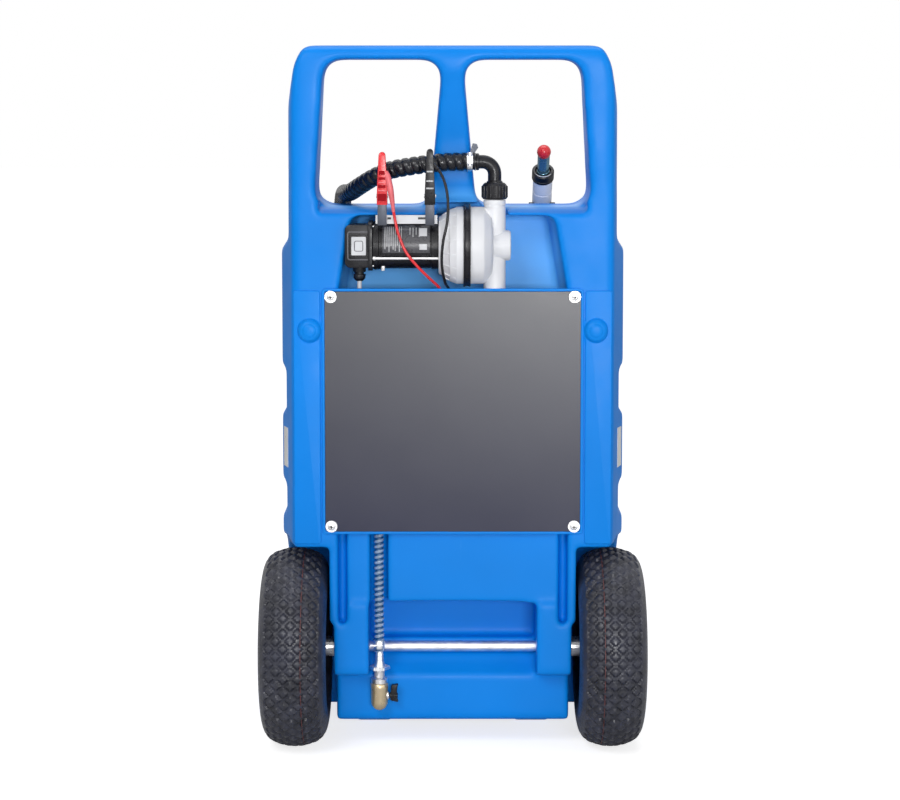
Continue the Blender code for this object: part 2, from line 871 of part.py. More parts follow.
def whole_tank():
    """The tank in one piece, as it is moulded, before it is split into nodes."""
    tank = prism("tank_whole", tank_front_outline(), "Y", REAR_Y - PAST, FRONT_Y + PAST, BLUE)
    side = prism("side_guide", tank_side_outline(), "X", -BODY_HALF - PAST, BODY_HALF + PAST)
    plan = prism("plan_guide", tank_plan_outline(), "Z", -PAST, TANK_TOP + PAST)
    combine(tank, side, "INTERSECT")
    combine(tank, plan, "INTERSECT")
    for sign, name in ((-1, "left"), (1, "right")):
        cut(
            tank,
            prism(f"window_{name}", window_outline(sign), "Y", REAR_Y - 0.02, FRONT_Y + 0.02),
        )
        reach = sorted((sign * ARCH_INNER_X, sign * (BODY_HALF + PAST * 2)))
        arch = arch_outline(ARCH_RADIUS, REAR_Y - PAST * 2, -PAST * 2)
        cut(tank, prism(f"wheel_arch_{name}", arch, "X", *reach))
        low_reach = sorted((sign * SKIRT_HALF, sign * (ARCH_INNER_X + PAST)))
        low = [
            (REAR_Y - PAST * 2, -PAST * 2),
            (ARCH_RADIUS, -PAST * 2),
            (ARCH_RADIUS, LEG_TOP),
            (SKIRT_Y, LEG_TOP),
            (SKIRT_Y, LEG_BOTTOM),
            (REAR_Y - PAST * 2, LEG_BOTTOM),
        ]
        cut(tank, prism(f"skirt_side_{name}", low, "X", *low_reach))
        leg_reach = sorted((sign * LEG_OUTER_X, sign * (ARCH_INNER_X + PAST)))
        leg = rectangle(REAR_Y - PAST * 2, SKIRT_Y + 0.001, LEG_BOTTOM - 0.001, LEG_TOP + 0.002)
        leg = rounded(leg, 1)
        cut(tank, prism(f"leg_side_{name}", leg, "X", *leg_reach))
        slot = sorted((sign * PANEL_HALF, sign * (PANEL_HALF + SLOT_WIDTH)))
        cut(
            tank,
            box(
                f"panel_slot_{name}",
                (slot[0], REAR_Y - PAST, LEG_TOP),
                (slot[1], REAR_Y + SLOT_DEPTH, COMPARTMENT_BOTTOM + PAST),
                radius=0.0,
            ),
        )
    post_low = SILL_Z + 0.040
    post_high = WINDOW_TOP - 0.030
    post_side = [
        (REAR_Y - PAST, SILL_REAR_Z + 0.004),
        (POST_Y - 0.006, SILL_Z + 0.012),
        (POST_Y, post_low),
        (POST_Y - 0.002, post_low + (post_high - post_low) * POST_BEND_SHARE),
        (REAR_Y + 0.006, post_high),
        (REAR_Y - PAST, WINDOW_TOP - 0.005),
    ]
    cut(tank, prism("post_relief", post_side, "X", -POST_CUT_HALF, POST_CUT_HALF))
    sill_side = [
        (REAR_Y - PAST, SILL_REAR_Z),
        (REAR_Y + 0.002, SILL_REAR_Z),
        (REAR_Y + 0.020, SILL_Z - 0.003),
        (REAR_Y + 0.060, SILL_Z + 0.002),
        (REAR_Y - PAST, SILL_Z + 0.010),
    ]
    cut(
        tank,
        prism("sill_round", sill_side, "X", -WINDOW_OUTER_LOW + 0.006, WINDOW_OUTER_LOW - 0.006),
    )
    recess = prism(
        "pump_recess", recess_outline(), "Y", REAR_Y - PAST, RECESS_Y, taper=RECESS_TAPER
    )
    cut(tank, recess)
    head_room = rod(
        "head_room",
        "X",
        (0.0, PUMP_Y, PUMP_Z),
        HEAD_RADIUS + BAND_THICK + PUMP_ROOM,
        MOTOR_RIGHT - PUMP_ROOM,
        COLUMN_X,
        None,
        28,
    )
    reach = COLUMN_RADIUS + PUMP_ROOM
    column_room = box(
        "column_room",
        (COLUMN_X - reach, REAR_Y - PAST, PUMP_Z),
        (COLUMN_X + reach, PUMP_Y + reach, SILL_Z + PAST),
    )
    cut(tank, head_room, column_room)
    panel = rounded(
        rectangle(-PANEL_HALF - 0.001, PANEL_HALF + 0.001, ALCOVE_TOP, COMPARTMENT_BOTTOM + PAST), 1
    )
    cut(tank, prism("panel_face", panel, "Y", REAR_Y - PAST, REAR_Y + PANEL_DEPTH))
    half_slot = HOSE_SLOT_WIDTH / 2
    cut(
        tank,
        box(
            "hose_slot",
            (SUCTION_X - half_slot, REAR_Y - PAST, ALCOVE_TOP - 0.006),
            (SUCTION_X + half_slot, REAR_Y + HOSE_SLOT_DEPTH + PANEL_DEPTH, COMPARTMENT_BOTTOM + PAST),
            radius=0.006,
            axis="Y",
        ),
    )
    alcove = [(-LEG_INNER_X, ALCOVE_FLOOR), (LEG_INNER_X, ALCOVE_FLOOR)]
    for step in range(9):
        share = 1 - step / 4
        alcove.append((LEG_INNER_X * share, ALCOVE_TOP + ALCOVE_RISE * (1 - share**2)))
    cut(tank, prism("axle_alcove", alcove, "Y", REAR_Y - PAST, ALCOVE_Y))
    under = [
        (REAR_Y - PAST, LEG_BOTTOM - PAST),
        (SKIRT_Y, LEG_BOTTOM - PAST),
        (UNDER_AXLE_Y, WHEEL_RADIUS - 0.006),
        (UNDER_AXLE_Y, ALCOVE_FLOOR + 0.001),
        (REAR_Y - PAST, ALCOVE_FLOOR + 0.001),
    ]
    cut(tank, prism("under_axle", under, "X", -LEG_INNER_X, LEG_INNER_X))
    bore = rod(
        "axle_bore", "X", (0, 0, WHEEL_RADIUS), AXLE_RADIUS + AXLE_FIT, -BODY_HALF, BODY_HALF, None, 20
    )
    cut(tank, bore)
    for reach, name in (
        ((-BODY_HALF - PAST, LEFT_BAY_X), "left"),
        ((RIGHT_BAY_X, BODY_HALF + PAST), "right"),
    ):
        cut(tank, prism(f"deck_bay_{name}", bay_outline(), "X", *reach))
    for sign, name in ((-1, "left"), (1, "right")):
        join(tank, moulded_boss(f"boss_{name}", sign * BOSS_X))
        x = sign * RUNNER_X
        runner = rounded(
            [
                (RUNNER_REAR_Y, 0.0, 0.004),
                (RUNNER_FRONT_Y, 0.0, 0.010),
                (RUNNER_FRONT_Y, BASE_Z + 0.002, 0.0),
                (RUNNER_REAR_Y, BASE_Z + 0.002, 0.0),
            ],
            2,
        )
        half = RUNNER_WIDTH / 2
        join(tank, prism(f"runner_{name}", runner, "X", x - half, x + half))
        for end, z in (("top", plate_screw_z()[1]), ("low", plate_screw_z()[0])):
            hole = rod(
                f"screw_hole_{name}_{end}",
                "Y",
                (sign * PLATE_SCREW_X, REAR_Y, z),
                SCREW_RADIUS + GAP,
                -PAST,
                SCREW_LENGTH,
                None,
                12,
            )
            cut(tank, hole)
    outlet = rod(
        "outlet_hole",
        "Y",
        (SUCTION_X, SKIRT_Y, VALVE_LOW + VALVE_RADIUS),
        0.0082,
        -PAST,
        RECESS_Y - SKIRT_Y + WALL + PAST,
        None,
        16,
    )
    cut(tank, outlet)
    neck = rod(
        "filler_neck", "Z", (FILLER_X, FILLER_Y, DECK_Z), NECK_RADIUS, -PAST, NECK_HEIGHT, None, 28
    )
    join(tank, neck)
    cut(tank, cavity())
    mouth = rod(
        "filler_mouth",
        "Z",
        (FILLER_X, FILLER_Y, DECK_Z),
        NECK_BORE,
        -WALL - PAST,
        NECK_HEIGHT + PAST,
        None,
        28,
    )
    cut(tank, mouth)
    return tank


def build_tank():
    """Four nodes that meet face to face, so that each one's collision stays open where the tank is."""
    tank = whole_tank()
    half = GAP / 2
    out = BODY_HALF + PAST * 2
    rear = REAR_Y - 0.02
    front = FRONT_Y + 0.02
    low = -PAST
    top = TANK_TOP + PAST
    regions = (
        ("tank_rear", (rear, low), (SPLIT_Y - half, SPLIT_HANDLE_Z - half)),
        ("tank_front", (SPLIT_Y + half, low), (front, SPLIT_DECK_Z - half)),
        ("tank_deck", (SPLIT_Y + half, SPLIT_DECK_Z + half), (front, SPLIT_HANDLE_Z - half)),
        ("tank_handle", (rear, SPLIT_HANDLE_Z + half), (front, top)),
    )
    for name, (low_y, low_z), (high_y, high_z) in regions:
        region = box(name, (-out, low_y, low_z), (out, high_y, high_z), BLUE)
        combine(region, tank, "INTERSECT")


def build_filler():
    under = NECK_HEIGHT + GAP
    low = 0.001
    top = low + CAP_HEIGHT
    turned(
        "filler_cap",
        [
            (under, 0.0),
            (under, NECK_RADIUS + CAP_FIT),
            (low, NECK_RADIUS + CAP_FIT),
            (low, CAP_RADIUS - 0.001),
            (low + 0.003, CAP_RADIUS),
            (top - 0.004, CAP_RADIUS),
            (top, CAP_RADIUS - 0.004),
            (top, 0.0),
        ],
        "Z",
        (FILLER_X, FILLER_Y, DECK_Z),
        BLACK,
        28,
    )


# Cover plate and its screws


def plate_screw_z():
    low = PLATE_BOTTOM + PLATE_SCREW_INSET
    return low, PLATE_BOTTOM + PLATE_HEIGHT - PLATE_SCREW_INSET


def build_cover():
    half = PLATE_WIDTH / 2
    outline = rounded(rectangle(-half, half, PLATE_BOTTOM, PLATE_BOTTOM + PLATE_HEIGHT, 0.003), 2)
    face = REAR_Y - GAP
    plate = prism("cover_plate", outline, "Y", face - PLATE_THICK, face, ANTHRACITE)
    head_seat = face - PLATE_THICK - GAP
    number = 0
    for z in plate_screw_z():
        for side in (-1, 1):
            number += 1
            centre = (side * PLATE_SCREW_X, head_seat, z)
            cut(
                plate,
                rod(
                    f"plate_hole_{number}",
                    "Y",
                    centre,
                    SCREW_RADIUS + GAP,
                    -PAST,
                    PLATE_THICK + PAST * 2,
                    None,
                    12,
                ),
            )
            turned(
                f"plate_screw_{number}",
                [
                    (-WASHER_THICK - SCREW_HEAD_HEIGHT, 0.0),
                    (-WASHER_THICK - SCREW_HEAD_HEIGHT, SCREW_HEAD_RADIUS - 0.002),
                    (-WASHER_THICK - SCREW_HEAD_HEIGHT / 2, SCREW_HEAD_RADIUS),
                    (-WASHER_THICK, SCREW_HEAD_RADIUS),
                    (-WASHER_THICK, WASHER_RADIUS),
                    (0.0, WASHER_RADIUS),
                    (0.0, SCREW_RADIUS),
                    (SCREW_LENGTH, SCREW_RADIUS),
                    (SCREW_LENGTH, 0.0),
                ],
                "Y",
                centre,
                STEEL,
                12,
            )


# Pump


def build_motor():
    centre = (0.0, PUMP_Y, PUMP_Z)
    inner = MOTOR_RADIUS - MOTOR_WALL
    turned(
        "pump_motor",
        [
            (MOTOR_LEFT, inner),
            (MOTOR_LEFT, MOTOR_RADIUS),
            (MOTOR_RIGHT, MOTOR_RADIUS),
            (MOTOR_RIGHT, SHAFT_RADIUS + GAP),
            (MOTOR_RIGHT - MOTOR_WALL, SHAFT_RADIUS + GAP),
            (MOTOR_RIGHT - MOTOR_WALL, inner),
        ],
        "X",
        centre,
        BLACK,
        32,
        closed=True,
    )
    turned(
        "pump_rotor",
        [
            (MOTOR_LEFT + 0.002, 0.0),
            (MOTOR_LEFT + 0.002, SHAFT_RADIUS),
            (MOTOR_LEFT + 0.012, SHAFT_RADIUS),
            (MOTOR_LEFT + 0.012, ROTOR_RADIUS),
            (MOTOR_RIGHT - MOTOR_WALL - 0.008, ROTOR_RADIUS),
            (MOTOR_RIGHT - MOTOR_WALL - 0.008, SHAFT_RADIUS),
            (HEAD_SPLIT_X - DIAPHRAGM_THICK / 2 - GAP, SHAFT_RADIUS),
            (HEAD_SPLIT_X - DIAPHRAGM_THICK / 2 - GAP, 0.0),
        ],
        "X",
        centre,
        STEEL,
        20,
    )
    for side, name in ((-1, "front"), (1, "rear")):
        height = side * ROD_DROP
        reach = MOTOR_RADIUS + ROD_RADIUS + GAP
        away = side * math.sqrt(reach**2 - ROD_DROP**2)
        rod(
            f"tie_rod_{name}",
            "X",
            (0.0, PUMP_Y + away, PUMP_Z + height),
            ROD_RADIUS,
            MOTOR_LEFT,
            MOTOR_RIGHT,
            STEEL,
            8,
        )


def build_switch_box():
    front = PUMP_Y - SWITCH_DEPTH / 2
    right = MOTOR_LEFT - GAP
    body = box(
        "switch_box",
        (SWITCH_LEFT, front, SWITCH_LOW),
        (right, front + SWITCH_DEPTH, SWITCH_HIGH),
        BLACK,
        0.008,
        "Y",
    )
    lugs = prism(
        "switch_box_lugs",
        rounded(
            rectangle(PUMP_Y - LUG_HALF, PUMP_Y + LUG_HALF, PUMP_Z - 0.024, PUMP_Z + 0.024, 0.006), 2
        ),
        "X",
        right - 0.006,
        right,
    )
    join(body, lugs)
    corner = box(
        "switch_corner",
        (SWITCH_LEFT - PAST, REAR_Y - 0.002, SWITCH_LOW - PAST),
        (-0.1450, front + SWITCH_DEPTH + PAST, SWITCH_HIGH + PAST),
    )
    cut(body, corner)
    x = (SWITCH_LEFT + right) / 2
    half_w = ROCKER_WIDTH / 2
    half_h = ROCKER_HEIGHT / 2
    room = ROCKER_ROOM
    pocket = box(
        "rocker_pocket",
        (x - half_w - GAP * 2, front - PAST, PUMP_Z - half_h - room),
        (x + half_w + GAP * 2, front + ROCKER_DEPTH + 0.003, PUMP_Z + half_h + room),
        radius=0.0,
    )
    cut(body, pocket)
    pivot = bpy.data.objects.new("rocker_pivot", None)
    bpy.context.collection.objects.link(pivot)
    pivot.parent = FRAME
    pivot.location = (x, front + 0.004, PUMP_Z)
    pivot.rotation_euler.x = math.radians(-ROCKER_TILT)
    deep = ROCKER_DEPTH - 0.004 - GAP
    outline = [
        (-0.004 - ROCKER_PROUD, -half_h),
        (-0.004 + 0.0005, 0.0),
        (-0.004 - ROCKER_PROUD, half_h),
        (0.0, half_h - 0.001),
        (deep, 0.006),
        (deep, -0.006),
        (0.0, -half_h + 0.001),
    ]
    rocker = prism("rocker_switch", outline, "X", -half_w, half_w, GREY)
    rocker.parent = pivot
    turned(
        "cable_gland",
        [
            (-0.0205, 0.0),
            (-0.0205, 0.0052),
            (-0.016, 0.0088),
            (-0.010, 0.0088),
            (-0.010, 0.0068),
            (-0.007, 0.0068),
            (-0.007, 0.0095),
            (-GAP, 0.0095),
            (-GAP, 0.0),
        ],
        "Z",
        (x, PUMP_Y, SWITCH_LOW),
        BLACK,
        16,
    )


def build_pump_head():
    centre = (0.0, PUMP_Y, PUMP_Z)
    left_flange = HEAD_SPLIT_X - DIAPHRAGM_THICK / 2 - GAP
    right_flange = HEAD_SPLIT_X + DIAPHRAGM_THICK / 2 + GAP
    start = MOTOR_RIGHT + GAP
    turned(
        "pump_head_front",
        [
            (start, SHAFT_RADIUS + 0.0005),
            (start, 0.044),
            (start + 0.014, 0.050),
            (start + 0.026, HEAD_RADIUS - 0.002),
            (left_flange, HEAD_RADIUS - 0.002),
            (left_flange, CHAMBER_RADIUS),
            (left_flange - 0.012, CHAMBER_RADIUS - 0.008),
            (left_flange - 0.014, SHAFT_RADIUS + 0.0005),
        ],
        "X",
        centre,
        WHITE,
        32,
        closed=True,
    )
    rod(
        "diaphragm",
        "X",
        centre,
        DIAPHRAGM_RADIUS,
        left_flange + GAP,
        right_flange - GAP,
        RUBBER,
        28,
    )
    cover = turned(
        "pump_head_cover",
        [
            (right_flange + 0.013, 0.0),
            (right_flange + 0.012, CHAMBER_RADIUS - 0.006),
            (right_flange, CHAMBER_RADIUS),
            (right_flange, HEAD_RADIUS - 0.002),
            (right_flange + 0.022, HEAD_RADIUS - 0.002),
            (HEAD_RIGHT, 0.046),
            (HEAD_RIGHT + 0.004, 0.030),
            (HEAD_RIGHT + 0.004, SIDE_BOSS_RADIUS),
            (SIDE_BOSS_X - 0.003, SIDE_BOSS_RADIUS),
            (SIDE_BOSS_X, SIDE_BOSS_RADIUS - 0.003),
            (SIDE_BOSS_X, 0.0),
        ],
        "X",
        centre,
        WHITE,
        28,
    )
    column = rod(
        "port_column",
        "Z",
        (COLUMN_X, PUMP_Y, 0.0),
        COLUMN_RADIUS,
        COLUMN_LOW,
        COLUMN_TOP,
        None,
        24,
    )
    join(cover, column)
    passage = rod(
        "port_passage",
        "Z",
        (COLUMN_X, PUMP_Y, 0.0),
        COLUMN_BORE,
        COLUMN_LOW - PAST,
        COLUMN_TOP + PAST,
        None,
        16,
    )
    link = rod(
        "port_link",
        "X",
        centre,
        0.0053,
        right_flange + 0.010,
        COLUMN_X,
        None,
        12,
    )
    cut(cover, link, passage)
    band_left = HEAD_SPLIT_X - BAND_WIDTH / 2
    band = ring(
        "clamp_band",
        "X",
        centre,
        HEAD_RADIUS - 0.002 + GAP,
        HEAD_RADIUS + BAND_THICK,
        band_left,
        band_left + BAND_WIDTH,
        BLACK,
        36,
    )
    lug = box(
        "band_lug",
        (band_left, PUMP_Y + HEAD_RADIUS + BAND_THICK - 0.003, PUMP_Z - 0.007),
        (band_left + BAND_WIDTH, PUMP_Y + HEAD_RADIUS + BAND_THICK + 0.006, PUMP_Z + 0.007),
        radius=0.002,
        axis="X",
    )
    join(band, lug)


def build_pump_foot():
    back = RECESS_Y - GAP
    half = FOOT_WIDTH / 2
    foot = box(
        "pump_foot",
        (FOOT_X - half, PUMP_Y, PUMP_Z - FOOT_HEIGHT / 2 + 0.010),
        (FOOT_X + half, back, PUMP_Z + FOOT_HEIGHT / 2 - 0.010),
        ZINC,
        0.002,
        "X",
    )
    flange = box(
        "foot_flange",
        (FOOT_X - half - 0.012, back - FOOT_FLANGE, PUMP_Z - FOOT_HEIGHT / 2),
        (FOOT_X + half + 0.012, back, PUMP_Z + FOOT_HEIGHT / 2 - 0.002),
        None,
        0.004,
        "Y",
    )
    join(foot, flange)
    seat = rod(
        "foot_seat",
        "X",
        (0.0, PUMP_Y, PUMP_Z),
        MOTOR_RADIUS + GAP,
        FOOT_X - half - PAST,
        FOOT_X + half + PAST,
        None,
        32,
    )
    rod_room = box(
        "foot_rod_room",
        (FOOT_X - half - PAST, PUMP_Y - PAST, PUMP_Z + ROD_DROP - 0.004),
        (FOOT_X + half + PAST, PUMP_Y + MOTOR_RADIUS + 0.006, PUMP_Z + FOOT_HEIGHT),
    )
    cut(foot, seat, rod_room)


# Outlet


def build_outlet():
    centre = (COLUMN_X, PUMP_Y, 0.0)
    turned(
        "union_nut",
        [
            (NUT_LOW, COLUMN_BORE),
            (NUT_LOW, NUT_RADIUS - 0.0015),
            (NUT_LOW + 0.002, NUT_RADIUS),
            (NUT_HIGH - 0.004, NUT_RADIUS),
            (NUT_HIGH, NUT_RADIUS - 0.004),
            (NUT_HIGH, ELBOW_RADIUS + GAP),
            (NUT_LOW + 0.008, ELBOW_RADIUS + GAP),
            (NUT_LOW + 0.008, COLUMN_BORE),
        ],
        "Z",
        centre,
        BLACK,
        24,
        closed=True,
    )
    start_z = NUT_LOW + 0.008 + GAP
    bend = [(COLUMN_X, PUMP_Y, start_z)]
    for step in range(7):
        angle = math.pi / 2 * step / 6
        bend.append(
            (
                COLUMN_X - ELBOW_BEND * (1 - math.cos(angle)),
                PUMP_Y,
                OUTLET_Z - ELBOW_BEND + ELBOW_BEND * math.sin(angle),
            )
        )
    inside_shoulder = (HOSE_START_X + SHOULDER_LENGTH / 2, PUMP_Y, OUTLET_Z)
    past_spigot = (HOSE_START_X - SPIGOT_LENGTH - PAST, PUMP_Y, OUTLET_Z)
    channel = [(COLUMN_X, PUMP_Y, start_z - PAST), *bend[1:], past_spigot]
    elbow = as_mesh(tube("outlet_elbow", [*bend, inside_shoulder], ELBOW_RADIUS, BLACK, 2))
    end = HOSE_START_X + GAP
    barb = turned(
        "elbow_barb",
        [
            (HOSE_START_X - SPIGOT_LENGTH, 0.0),
            (HOSE_START_X - SPIGOT_LENGTH, SPIGOT_RADIUS),
            (end, SPIGOT_RADIUS),
            (end, SHOULDER_RADIUS),
            (end + SHOULDER_LENGTH, SHOULDER_RADIUS),
            (end + SHOULDER_LENGTH, 0.0),
        ],
        "X",
        (0.0, PUMP_Y, OUTLET_Z),
        None,
        16,
    )
    join(elbow, barb)
    cut(elbow, as_mesh(tube("elbow_bore", channel, ELBOW_BORE, None, 2)))


# Delivery hose

HOSE_LEAD_ROUTE = [
    (HOSE_START_X, -0.045, 0.8852),
    (0.012, -0.045, 0.8852),
    (-0.012, -0.045, 0.8845),
    (-0.036, -0.045, 0.8820),
    (-0.062, -0.0440, 0.8785),
    (-0.092, -0.0360, 0.8725),
    (-0.118, -0.0190, 0.8610),
    (-0.139, 0.0080, 0.8480),
    (-0.153, 0.0440, 0.8385),
    (-0.162, 0.0860, 0.8350),
    (-0.168, 0.1320, 0.8330),
    (-0.172, 0.1760, 0.8210),
    (-0.176, 0.2190, 0.7960),
    (-0.179, 0.2570, 0.7560),
    (-0.180, 0.2900, 0.7040),
    (-0.180, 0.3150, 0.6400),
    (-0.180, 0.3290, 0.5700),
    (-0.180, 0.3335, 0.5100),
    (-0.180, 0.3335, 0.4900),
    (-0.180, 0.3335, 0.4700),
    (-0.180, 0.3335, COIL_Z + HOSE_RADIUS + GAP),
]


def coil_points(centre_x, centre_z, first_y, radius, pitch, turns, layer_turns, first_angle):
    """One tube's middle line: it spirals in, climbs a layer in half a turn and spirals out again."""
    points = []
    total = int(round(turns * COIL_STEPS))
    for i in range(total + 1):
        turn = i / COIL_STEPS
        inward = min(turn, layer_turns)
        outward = max(0.0, turn - layer_turns - 0.5)
        share = min(1.0, max(0.0, (turn - layer_turns) / 0.5))
        climb = share * share * (3 - 2 * share)
        tuck = COIL_TUCK * math.sin(math.pi * share)
        r = radius - pitch * (inward - outward + tuck)
        angle = math.radians(first_angle) + 2 * math.pi * turn
        points.append(
            (
                centre_x + r * math.cos(angle),
                first_y + pitch * climb,
                centre_z + r * math.sin(angle),
            )
        )
    return points


def least_self_gap(points, radius, apart):
    """The least gap between turns, measured on finely spaced points of the middle line."""
    line = np.array(points, float)
    fine = np.concatenate(
        [np.linspace(a, b, 5, endpoint=False) for a, b in zip(line[:-1], line[1:])]
    )
    skip = apart * 5
    best = math.inf
    for i in range(len(fine) - skip):
        gaps = np.linalg.norm(fine[i + skip :] - fine[i], axis=1)
        best = min(best, float(gaps.min()))
    return best - 2 * radius


def build_delivery_hose():
    ribbed_tube(
        "hose_lead",
        HOSE_LEAD_ROUTE,
        HOSE_RIB_PITCH,
        HOSE_RADIUS,
        HOSE_GROOVE_RADIUS,
        HOSE_BORE,
        BLACK,
        HOSE_POINTS_STEP,
    )
    first_y = FRONT_Y + COIL_OFF_WALL + HOSE_RADIUS
    coil = coil_points(
        COIL_X, COIL_Z, first_y, COIL_RADIUS, COIL_PITCH, COIL_TURNS, COIL_LAYER_TURNS, 180.0
    )
    coil.insert(0, (coil[0][0], coil[0][1], COIL_Z + HOSE_RADIUS))
    coil.append((coil[-1][0], coil[-1][1], COIL_Z + HOSE_RADIUS))
    tube("hose_coil", coil, HOSE_RADIUS, BLACK, 1)
    gap = least_self_gap(coil, HOSE_RADIUS, COIL_STEPS // 2)
    print(f"hose_coil least gap to itself {gap * 1000:.2f} mm, length {route_length(coil):.3f} m")
    end_y = first_y + COIL_PITCH
    low, high = swivel_ends()
    down = grip_direction()
    start = low + down * GAP
    coil_end = COIL_Z + HOSE_RADIUS + GAP
    end_x = COIL_X + COIL_RADIUS
    tail = [tuple(start + down * reach) for reach in (0.0, 0.017, 0.034)]
    tail.append(((NOZZLE_X + end_x) / 2, end_y - 0.001, coil_end + 0.052))
    tail += [(end_x, end_y, coil_end + reach) for reach in (0.034, 0.017, 0.0)]
    tube("hose_tail", smooth_route(tail, HOSE_POINTS_STEP / 2), HOSE_RADIUS, BLACK, 2)


def build_saddle():
    """A curved shelf with a lip, screwed to the front, that carries the coil."""
    outer = COIL_RADIUS - COIL_PITCH * (COIL_LAYER_TURNS + COIL_TUCK) - HOSE_RADIUS - 0.0015
    depth = COIL_OFF_WALL + COIL_PITCH + 2 * HOSE_RADIUS + GAP
    start = FRONT_Y + GAP

    inner = outer - SADDLE_WALL
    foot = outer - SADDLE_FOOT
    lip = outer + SADDLE_LIP
    near = start + SADDLE_LIP_THICK
    end = start + depth
    far = end + SADDLE_LIP_THICK
    section = [
        (start, foot),
        (near, foot),
        (near, inner),
        (end, inner),
        (far, inner),
        (far, outer),
        (far, lip),
        (end, lip),
        (end, outer),
        (near, outer),
        (start, outer),
        (start, inner),
    ]
    caps = [(0, 1, 2, 11), (11, 2, 9, 10), (2, 3, 8, 9), (3, 4, 5, 8), (8, 5, 6, 7)]
    swept_arc(
        "hose_saddle", section, caps, COIL_X, COIL_Z, SADDLE_FROM, SADDLE_TO, 10, BLACK
    )


# Nozzle


def nozzle_direction():
    """The way the spout points: towards the operator and up."""
    rise = math.radians(NOZZLE_RISE)
    return Vector((0.0, -math.cos(rise), math.sin(rise)))


def collar_centre():
    return Vector((NOZZLE_X, COLLAR_Y, COLLAR_Z))


def barrel_end():
    return collar_centre() - nozzle_direction() * BARREL_LENGTH


def grip_end():
    return Vector((NOZZLE_X, GRIP_END_Y, GRIP_END_Z))


def grip_direction():
    return (grip_end() - barrel_end()).normalized()


def grip_outward():
    """Square to the grip, away from the tank."""
    down = grip_direction()
    return Vector((0.0, -down.z, down.y))


def swivel_ends():
    top = grip_end() + grip_direction() * GAP
    return top + grip_direction() * SWIVEL_LENGTH, top


def beside_grip(along, away):
    """A point in the nozzle's own plane: how far down the grip, and how far out from its axis."""
    spot = barrel_end() + grip_direction() * along + grip_outward() * away
    return (spot.y, spot.z)


